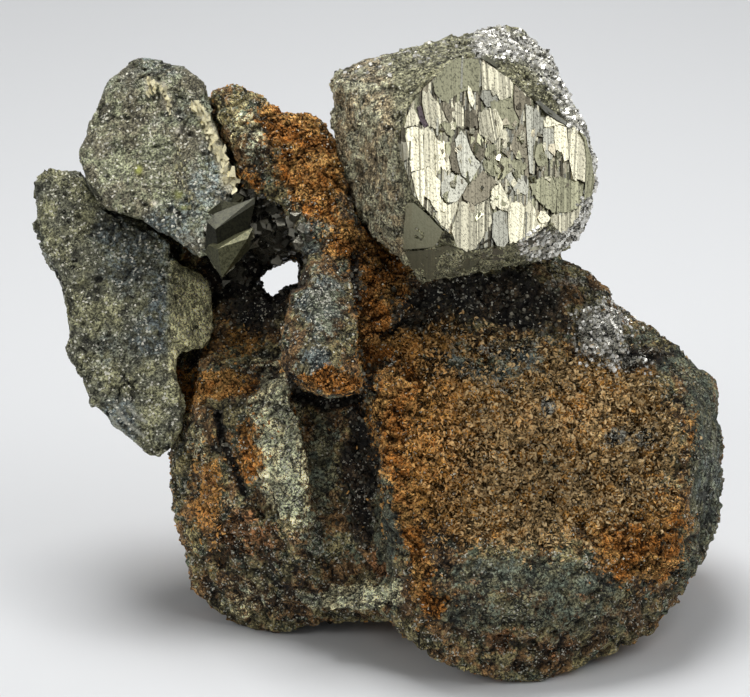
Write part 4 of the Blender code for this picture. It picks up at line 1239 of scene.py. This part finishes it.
def grain_tree():
    """Grains strewn over a surface: lumps, flakes or small cubes, as many as one of its attributes allows."""
    tree = bpy.data.node_groups.new("strewn_grains", "GeometryNodeTree")
    identifiers = {}
    for name, kind, default in GRAIN_SOCKETS:
        socket = tree.interface.new_socket(name, in_out="INPUT", socket_type=kind)
        if default is not None:
            socket.default_value = default
        identifiers[name] = socket.identifier
    tree.interface.new_socket("Grains", in_out="OUTPUT", socket_type="NodeSocketGeometry")
    given = add(tree, "NodeGroupInput").outputs
    seed = given["Seed"]

    inputs = {"Name": given["Where"]}
    where = add(tree, "GeometryNodeInputNamedAttribute", inputs, data_type="FLOAT").outputs[0]
    density = product(tree, where, given["Grains per square metre"])
    inputs = {"Mesh": given["Surface"], "Density": density, "Seed": seed}
    strewn = add(tree, "GeometryNodeDistributePointsOnFaces", inputs).outputs

    size = drawn(tree, given["Smallest"], given["Largest"], seed)
    inputs = {
        "Points": strewn["Points"], "Instance": grain_shape(tree, given["Cubes"]),
        "Rotation": grain_turn(tree, given, strewn["Normal"]),
        "Scale": triple(tree, size, size, product(tree, size, given["Flatness"])),
    }
    grown = add(tree, "GeometryNodeInstanceOnPoints", inputs).outputs[0]
    inputs = {"Geometry": grown, "Name": "shade", "Value": drawn(tree, 0.0, 1.0, seed)}
    shaded = add(tree, "GeometryNodeStoreNamedAttribute", inputs, data_type="FLOAT", domain="INSTANCE")
    real = add(tree, "GeometryNodeRealizeInstances", {0: shaded.outputs[0]}).outputs[0]
    inputs = {"Geometry": roughened(tree, real, given), "Material": given["Finish"]}
    dressed = add(tree, "GeometryNodeSetMaterial", inputs).outputs[0]
    add(tree, "NodeGroupOutput", {0: dressed})
    return tree, identifiers


def strew(grains, host, slot, finishes, growth):
    """Grows grains on a skin, as a piece of its own."""
    tree, identifiers = grains
    name, finish_name, seed, where, per_square_mm, sizes, flatness, lean, roughness, cubes = growth
    finish = finishes[finish_name]
    piece = link(name, host.data)
    strewn = piece.modifiers.new("grains", "NODES")
    strewn.node_group = tree
    values = {
        "Where": where, "Grains per square metre": per_square_mm / MM**2, "Smallest": sizes[0] * MM,
        "Largest": sizes[1] * MM, "Flatness": flatness, "Least lean": lean[0], "Lean": lean[1],
        "Roughness": roughness, "Cubes": cubes, "Seed": seed, "Finish": finish,
    }
    for key, value in values.items():
        strewn[identifiers[key]] = value
    settle_modifiers(piece)
    move_points(piece.data, above_floor(points_of(piece.data)))
    return finished_piece(piece, finish, slot)


# Finishes

# The matrix's crusts over each other: each one's mask and two colours. The dark one's colours are partly
# painted shade
CRUSTS = (
    ("brown", TAN_FLAKES, ORANGE_FLAKES), ("steel", GREEN_GREY, OLIVE_GREY),
    ("blue", BLUE_STEEL, GREEN_STEEL),
    ("pale", PALE_CRUST, PALE_GREEN_CRUST), ("dark", DEEP_DARK_AND_SHADOW, DEEP_BROWN_AND_SHADOW),
    ("silver", SILVER_GREY, SILVER_DARK), ("rust", RUST, RUST_LIGHT), ("red", RED_RUST, RED_RUST_DARK),
)
# How much rarer bright specks are on a crust, or how much more common where it is below zero
SPECK_RARITIES = (("silver", -0.30), ("blue", -0.05), ("steel", 0.06), ("red", -0.07))
# The slabs' colours: two shades, a bluish tarnish and the streaks
TARNISHED_COLOURS = (
    (0.235, 0.215, 0.140, 1), (0.215, 0.222, 0.138, 1), (0.150, 0.178, 0.172, 1), (0.95, 0.90, 0.68, 1),
)
DARK_COLOURS = (
    (0.165, 0.165, 0.110, 1), (0.190, 0.185, 0.105, 1), (0.125, 0.148, 0.145, 1), (0.42, 0.42, 0.34, 1),
)
SLAB_METAL = 0.4
# The grains: darkest and lightest shade, how metallic, rough and glossy, the lightest shade where the crust
# is warm, and whether they are lighter and darker with the crust
GRAIN_FINISHES = (
    ("rust_grains", (0.050, 0.022, 0.007, 1), (0.52, 0.260, 0.085, 1), 0.0, 0.85, 0.1, None, True),
    ("brown_flakes", (0.055, 0.034, 0.014, 1),
    (0.78, 0.56, 0.28, 1), 0.0, 0.55, 0.3, (0.68, 0.38, 0.120, 1), True),
    ("silver_grains", (0.02, 0.02, 0.016, 1), (1.0, 0.98, 0.90, 1), 0.6, 0.25, 0.5, None, False),
    ("cavity_crystals", (0.006, 0.006, 0.005, 1), (0.20, 0.19, 0.15, 1), 0.7, 0.15, 0.5, None, False),
    ("dark_grains", (0.015, 0.013, 0.010, 1), (0.14, 0.13, 0.10, 1), 0.8, 0.3, 0.5, None, False),
)


def winding_lines(tree, size, width):
    """Thin lines that wind at this spacing: 0 on a line and 1 beside it."""
    winding = pattern_noise(tree, size, 1.0, roughness=0.5)
    away = maths(tree, "ABSOLUTE", about_zero(tree, winding))
    return ramp(tree, away, 0.3 * width, width)


def fine_contrast(tree, grain, least, most, painted_line_shade, line_width):
    """How light each spot of a grainy surface is: soft grains of random tone, and thin dark lines that wind
    between them as painted shade between grains.
    """
    fine = pattern_noise(tree, grain, 3, roughness=0.8)
    cover = ramp(tree, pattern_noise(tree, 9.0 * grain, 2.0), 0.42, 0.58, 0.3, 1.0)
    close = product(
        tree, winding_lines(tree, 3.0 * grain, line_width), winding_lines(tree, 4.3 * grain, line_width))
    lines = rest(tree, product(tree, cover, rest(tree, close)))
    light = ramp(tree, fine, 0.40, 0.60, least, most)
    # Painted shade: the winding lines darken the gaps between grains
    shaded = product(tree, light, ramp(tree, lines, 0.0, 1.0, painted_line_shade, 1.0))
    return shaded, weighted(tree, lines, 0.7, fine), fine


def specks(tree, size, rarity):
    """Where bright specks of this size lie. Rarity is from 0, everywhere, to 1, nowhere."""
    draw = add(tree, "ShaderNodeSeparateColor", {0: pattern_cells(tree, size)}).outputs[0]
    return maths(tree, "GREATER_THAN", draw, rarity)


def worn_shade(tree, worn):
    """Each plate's own colour and painted shine, darker where it is worn."""
    shade = add(tree, "ShaderNodeAttribute", attribute_name="plate_colour").outputs["Color"]
    wear = add(tree, "ShaderNodeCombineColor", {0: worn, 1: worn, 2: worn}).outputs[0]
    return blended(tree, 1.0, shade, wear, mode="MULTIPLY")


def crusted_colour(tree, broad, other, middle, fine):
    """The matrix's crusts over each other, the dark one partly painted shade, each with a ragged border, and
    how much of each shows.
    """
    colour = blended(tree, ramp(tree, broad, 0.44, 0.54), OLIVE_CRUST, BROWNISH_CRUST)
    colour = blended(tree, ramp(tree, other, 0.53, 0.62), colour, GREENISH_CRUST)
    wander = product(tree, about_zero(tree, middle), 1.8)
    border = weighted(tree, about_zero(tree, fine), 0.5, wander)
    warm = weighted(tree, stored(tree, "warm"), 0.16, broad)
    shares = {}
    for index, (mask, first, second) in enumerate(CRUSTS):
        hue = warm if mask == "brown" else (broad, other)[index % 2]
        shares[mask] = ramp(tree, maths(tree, "ADD", stored(tree, mask), border), 0.34, 0.62)
        tone = blended(tree, ramp(tree, hue, 0.42, 0.58), first, second)
        colour = blended(tree, shares[mask], colour, tone)
    return colour, shares


def matrix_finish():
    """The matrix's crusts, each with its colours, painted shade in low spots and painted light on high ones,
    and bright specks of metal among them.
    """
    material, tree, shader = new_finish("rust_crusted_rock")
    broad = pattern_noise(tree, 3.4, 3)
    other = pattern_noise(tree, 2.1, 4, roughness=0.7)
    middle = pattern_noise(tree, 1.0, 5, roughness=0.75)
    contrast, height, fine = fine_contrast(tree, 0.30, 0.22, 2.30, 0.15, 0.040)
    colour, shares = crusted_colour(tree, broad, other, middle, fine)
    # Painted shade and light: the relief darkens low spots and lightens high ones; the tone lightens the
    # hollow beside the column
    relief = ramp(tree, stored(tree, "relief"), -0.65, 0.20, 0.20, 1.25)
    blotch = ramp(tree, middle, 0.42, 0.58, 0.62, 1.30)
    depth = product(tree, stored(tree, "tone"), product(tree, relief, blotch))
    colour = scaled_vector(tree, colour, product(tree, contrast, depth))

    rusty = maths(tree, "MAXIMUM", shares["rust"], shares["red"])
    rarity = weighted(tree, rusty, 0.03, ramp(tree, other, 0.48, 0.62, 0.965, 0.88))
    for mask, rarer in SPECK_RARITIES:
        rarity = weighted(tree, shares[mask], rarer, rarity)
    speck = specks(tree, 0.2, rarity)
    colour = blended(tree, speck, colour, SILVER_PYRITE)
    roughness = weighted(tree, speck, -0.35, 0.65)
    gloss = weighted(tree, maths(tree, "MAXIMUM", rusty, shares["brown"]), -0.32, 0.40)
    normal = glinting_normal(tree, 0.45, 0.5, height, 1.0, 0.30)
    feed(tree, shader, Base_Color=colour, Metallic=speck, Roughness=roughness, Normal=normal,
         Specular_IOR_Level=gloss)
    return material


def slab_finish(name, base, light, bluish, streak_colour):
    """A dull tarnished face of pyrite, faintly blotched, with painted shade in its pits and cracks and a fine
    glitter.
    """
    material, tree, shader = new_finish(name)
    broad = pattern_noise(tree, 3.0, 3)
    middle = pattern_noise(tree, 0.9, 5, roughness=0.75)
    contrast, height, fine = fine_contrast(tree, 0.28, 0.32, 1.95, 0.30, 0.020)
    upright = pattern_noise(tree, 0.5, 3, stretch=(1.0, 1.0, 0.07))
    striped = stored(tree, "striped")
    streak = stored(tree, "streak")
    yellow = stored(tree, "yellow")

    colour = blended(tree, ramp(tree, broad, 0.42, 0.58), base, light)
    blue = product(tree, stored(tree, "patch"), ramp(tree, middle, 0.42, 0.56))
    colour = blended(tree, blue, colour, bluish)
    # Painted light: the striped side of the left slab is made lighter
    colour = blended(tree, striped, colour, SIDE_GROOVES_PAINTED_LIGHT)
    colour = blended(tree, product(tree, striped, ramp(tree, upright, 0.4, 0.6)), colour, STRIPED_SIDE_PAINTED_LIGHT)
    # Painted shade: the relief darkens pits and cracks, and lightens high spots a little
    relief = ramp(tree, stored(tree, "relief"), -0.30, 0.02, 0.2, 1.15)
    blotch = product(
        tree, ramp(tree, middle, 0.42, 0.58, 0.62, 1.25), ramp(tree, broad, 0.35, 0.65, 0.65, 1.3))
    colour = scaled_vector(tree, colour, product(tree, contrast, product(tree, relief, blotch)))

    streaky = ramp(tree, fine, 0.38, 0.50, 0.25, 1.0)
    colour = blended(tree, product(tree, streak, streaky), colour, streak_colour)
    colour = blended(tree, product(tree, stored(tree, "spot"), streaky), colour, BRIGHT_FLAKE)
    colour = blended(tree, yellow, colour, YELLOW_SPOT)
    speck = specks(tree, 0.24, ramp(tree, middle, 0.45, 0.6, 0.965, 0.88))
    colour = blended(tree, speck, colour, SILVER_PYRITE)
    bare = product(tree, rest(tree, maths(tree, "MAXIMUM", streak, yellow)), rest(tree, striped))
    metallic = maths(tree, "MAXIMUM", speck, product(tree, bare, SLAB_METAL))
    roughness = weighted(tree, speck, -0.15, 0.44)
    normal = glinting_normal(tree, 0.34, 0.35, weighted(tree, upright, 0.5, height), 0.9, 0.2)
    feed(tree, shader, Base_Color=colour, Metallic=metallic, Roughness=roughness, Normal=normal)
    return material


def large_finish():
    """The large crystal's own sides: grainy steps, dull on its left, silvery along its right edge, with
    painted shade in low spots.
    """
    material, tree, shader = new_finish("bright_pyrite_sides")
    broad = pattern_noise(tree, 2.6, 3)
    middle = pattern_noise(tree, 0.9, 5, roughness=0.75)
    contrast, height, _ = fine_contrast(tree, 0.28, 0.25, 2.10, 0.25, 0.030)
    silver = stored(tree, "silver")
    dull = blended(tree, ramp(tree, broad, 0.44, 0.56), SIDE_DULL, SIDE_BROWN)
    colour = blended(tree, stored(tree, "dull"), SIDE_PYRITE, dull)
    colour = blended(tree, silver, colour, SIDE_SILVER)
    colour = blended(tree, stored(tree, "face"), colour, FACE_GROUND)
    # Painted shade: the relief darkens low spots, and the lowered relief along the top edge darkens it too
    relief = ramp(tree, stored(tree, "relief"), -0.35, 0.05, 0.35, 1.1)
    blotch = ramp(tree, middle, 0.40, 0.58, 0.6, 1.3)
    colour = scaled_vector(tree, colour, product(tree, contrast, product(tree, relief, blotch)))
    speck = specks(tree, 0.2, weighted(tree, silver, -0.25, 0.97))
    colour = blended(tree, speck, colour, SILVER_PYRITE)
    metallic = maths(tree, "MAXIMUM", speck, 0.5)
    roughness = weighted(tree, speck, -0.12, 0.42)
    normal = glinting_normal(tree, 0.4, 0.5, height, 0.9, 0.22)
    feed(tree, shader, Base_Color=colour, Metallic=metallic, Roughness=roughness, Normal=normal)
    return material


def plate_finish():
    """Mirror-bright plates, finely striated, each in its own shade."""
    material, tree, shader = new_finish("mirror_pyrite")
    fine = pattern_noise(tree, 0.3, 4, roughness=0.7)
    upright = pattern_noise(tree, 0.22, 3, stretch=(1.0, 1.0, 0.05))
    lines = weighted(tree, about_zero(tree, fine), 0.30, upright)
    colour = worn_shade(tree, ramp(tree, lines, 0.34, 0.50, 0.40, 1.0))
    normal = glinting_normal(tree, 0.6, 0.04, maths(tree, "ADD", fine, upright), 0.22, 0.1)
    feed(tree, shader, Base_Color=colour, Metallic=1.0, Roughness=0.27, Normal=normal)
    return material


def grain_finish(name, dark, light, metal, rough, gloss, warm, earthy):
    """Loose grains, each in its own shade between two colours, and warmer where the crust below is."""
    material, tree, shader = new_finish(name)
    fine = pattern_noise(tree, 0.25, 3, roughness=0.7)
    tone = weighted(tree, about_zero(tree, fine), 0.8, stored(tree, "shade"))
    if warm:
        light = blended(tree, stored(tree, "warm"), light, warm)
    colour = blended(tree, ramp(tree, tone, 0.05, 1.0), dark, light)
    if earthy:
        colour = scaled_vector(tree, colour, stored(tree, "tone"))
    normal = bump(tree, fine, 0.5, 0.12)
    feed(tree, shader, Base_Color=colour, Metallic=metal, Roughness=rough, Normal=normal,
         Specular_IOR_Level=gloss)
    return material


def facet_finish(name, metal, rough, wear_left=0.75):
    """Smooth small facets and flakes, each in its own shade."""
    material, tree, shader = new_finish(name)
    fine = pattern_noise(tree, 0.3, 4, roughness=0.7)
    colour = worn_shade(tree, ramp(tree, fine, 0.35, 0.60, wear_left, 1.0))
    feed(tree, shader, Base_Color=colour, Metallic=metal, Roughness=rough, Normal=bump(tree, fine, 0.3, 0.1))
    return material


# The stage, the lights and the camera

# The backdrop, in metres: where its floor starts and where it begins to curve up, the curve's radius, the
# wall's top and half its width
FLOOR_FRONT = -2.0
FLOOR_BACK = 0.45
CURVE_RADIUS = 0.35
WALL_TOP = 2.2
HALF_WIDTH = 2.5
PAPER = (0.80, 0.81, 0.82)

# The lights: the name, the direction from the specimen, the distance, the side and the power. The key light
# is where the large crystal's front face reflects it to the viewer
LIGHTS = (
    ("key", (0.56, -0.28, 0.78), 0.55, 0.40, 0.82),
    ("left", (-0.80, -0.45, 0.50), 0.60, 0.22, 0.55),
    ("top", (-0.14, 0.22, 1.0), 0.6, 0.30, 2.90),
)
ROOM_COLOUR = (0.97, 0.98, 1.0, 1)
ROOM_STRENGTH = 0.20
SENSOR_WIDTH = 36.0


def sweep():
    """A pale floor that curves up behind, its colour darker towards the back and on the left as painted shade.
    """
    profile = [(FLOOR_FRONT, 0.0), (FLOOR_BACK, 0.0)]
    for turn in np.linspace(0.1, math.pi / 2, 12):
        profile.append((FLOOR_BACK + CURVE_RADIUS * math.sin(turn), CURVE_RADIUS * (1 - math.cos(turn))))
    profile.append((FLOOR_BACK + CURVE_RADIUS, WALL_TOP))
    points = [(side, y, z) for y, z in profile for side in (-HALF_WIDTH, HALF_WIDTH)]
    faces = [(2 * i, 2 * i + 1, 2 * i + 3, 2 * i + 2) for i in range(len(profile) - 1)]
    mesh = bpy.data.meshes.new("backdrop")
    mesh.from_pydata(points, [], faces)
    mesh.polygons.foreach_set("use_smooth", [True] * len(faces))
    stand = link("backdrop", mesh)
    material, tree, shader = new_finish("paper")
    place = add(tree, "ShaderNodeSeparateXYZ", {0: add(tree, "ShaderNodeTexCoord").outputs["Object"]})
    # Painted shade: the paper is darker towards the back and on the left
    back = ramp(tree, place.outputs[1], 0.0, 0.30, 1.0, 0.90)
    side = ramp(tree, place.outputs[0], -0.09, 0.02, 0.93, 1.0)
    shade = scaled_vector(tree, PAPER, product(tree, back, side))
    feed(tree, shader, Base_Color=shade, Roughness=0.95, Specular_IOR_Level=0.1)
    mesh.materials.append(material)


def softbox(name, direction, distance, side, power):
    """A square lamp that shines on the specimen."""
    light = bpy.data.lights.new(name, "AREA")
    light.shape = "SQUARE"
    light.size = side
    light.energy = power
    lamp = link(name, light)
    away = Vector(direction).normalized()
    lamp.location = Vector(LAYOUT_MIDDLE) * MM + away * distance
    lamp.rotation_mode = "QUATERNION"
    lamp.rotation_quaternion = away.to_track_quat("Z", "Y")


def lights():
    """The lamps, and the faint light of the room."""
    for light in LIGHTS:
        softbox(*light)
    world = bpy.data.worlds.new("room")
    world.use_nodes = True
    room = world.node_tree.nodes["Background"].inputs
    room["Color"].default_value = ROOM_COLOUR
    room["Strength"].default_value = ROOM_STRENGTH
    bpy.context.scene.world = world


def camera():
    """The photograph's view."""
    seen = bpy.data.cameras.new("camera")
    seen.sensor_width = SENSOR_WIDTH
    seen.lens = seen.sensor_width * VIEW_DISTANCE * PIXELS_PER_MM / PHOTO_WIDTH
    seen.clip_start = 0.01
    seen.clip_end = 20
    eye = link("camera", seen)
    eye.location = Vector((LAYOUT_MIDDLE - VIEW_DISTANCE * VIEW_AWAY) * MM)
    eye.rotation_euler = (math.pi / 2 - VIEW_TILT, 0, 0)
    bpy.context.scene.camera = eye


# The specimen


def specimen():
    """Every piece of the specimen, each with its finish."""
    rock = finished_piece(matrix_skin(), matrix_finish(), "rust_crusted_matrix", "matrix")
    upper = slab_skin("tarnished_crystal", "upper_left_crystal", UPPER_SEED)
    tarnish = slab_finish("tarnished_pyrite", *TARNISHED_COLOURS)
    finished_piece(upper, tarnish, "tarnished_pyrite", "upper_left_crystal")
    left = slab_skin("dark_crystal", "left_crystal", LEFT_SEED)
    finished_piece(olive_crystals(), facet_finish("olive_pyrite", 0.7, 0.30, 0.35), "tarnished_pyrite")
    finished_piece(upper_flakes(), facet_finish("bright_flakes", 0.2, 0.4), "tarnished_pyrite")
    finished_piece(left, slab_finish("dark_pyrite", *DARK_COLOURS), "dark_pyrite", "left_crystal")
    large = finished_piece(large_skin(), large_finish(), "bright_pyrite", "large_crystal")
    finished_piece(mosaic(), plate_finish(), "bright_pyrite")
    finished_piece(side_facets(), facet_finish("side_facets", 0.35, 0.35), "bright_pyrite")

    grains = grain_tree()
    finishes = {name: grain_finish(name, *values) for name, *values in GRAIN_FINISHES}
    for growth in ROCK_GROWTHS:
        strew(grains, rock, "rust_crusted_matrix", finishes, growth)
    strew(grains, large, "bright_pyrite", finishes, EDGE_GROWTH)


camera()
sweep()
lights()
specimen()
bpy.context.scene.view_settings.view_transform = "Standard"
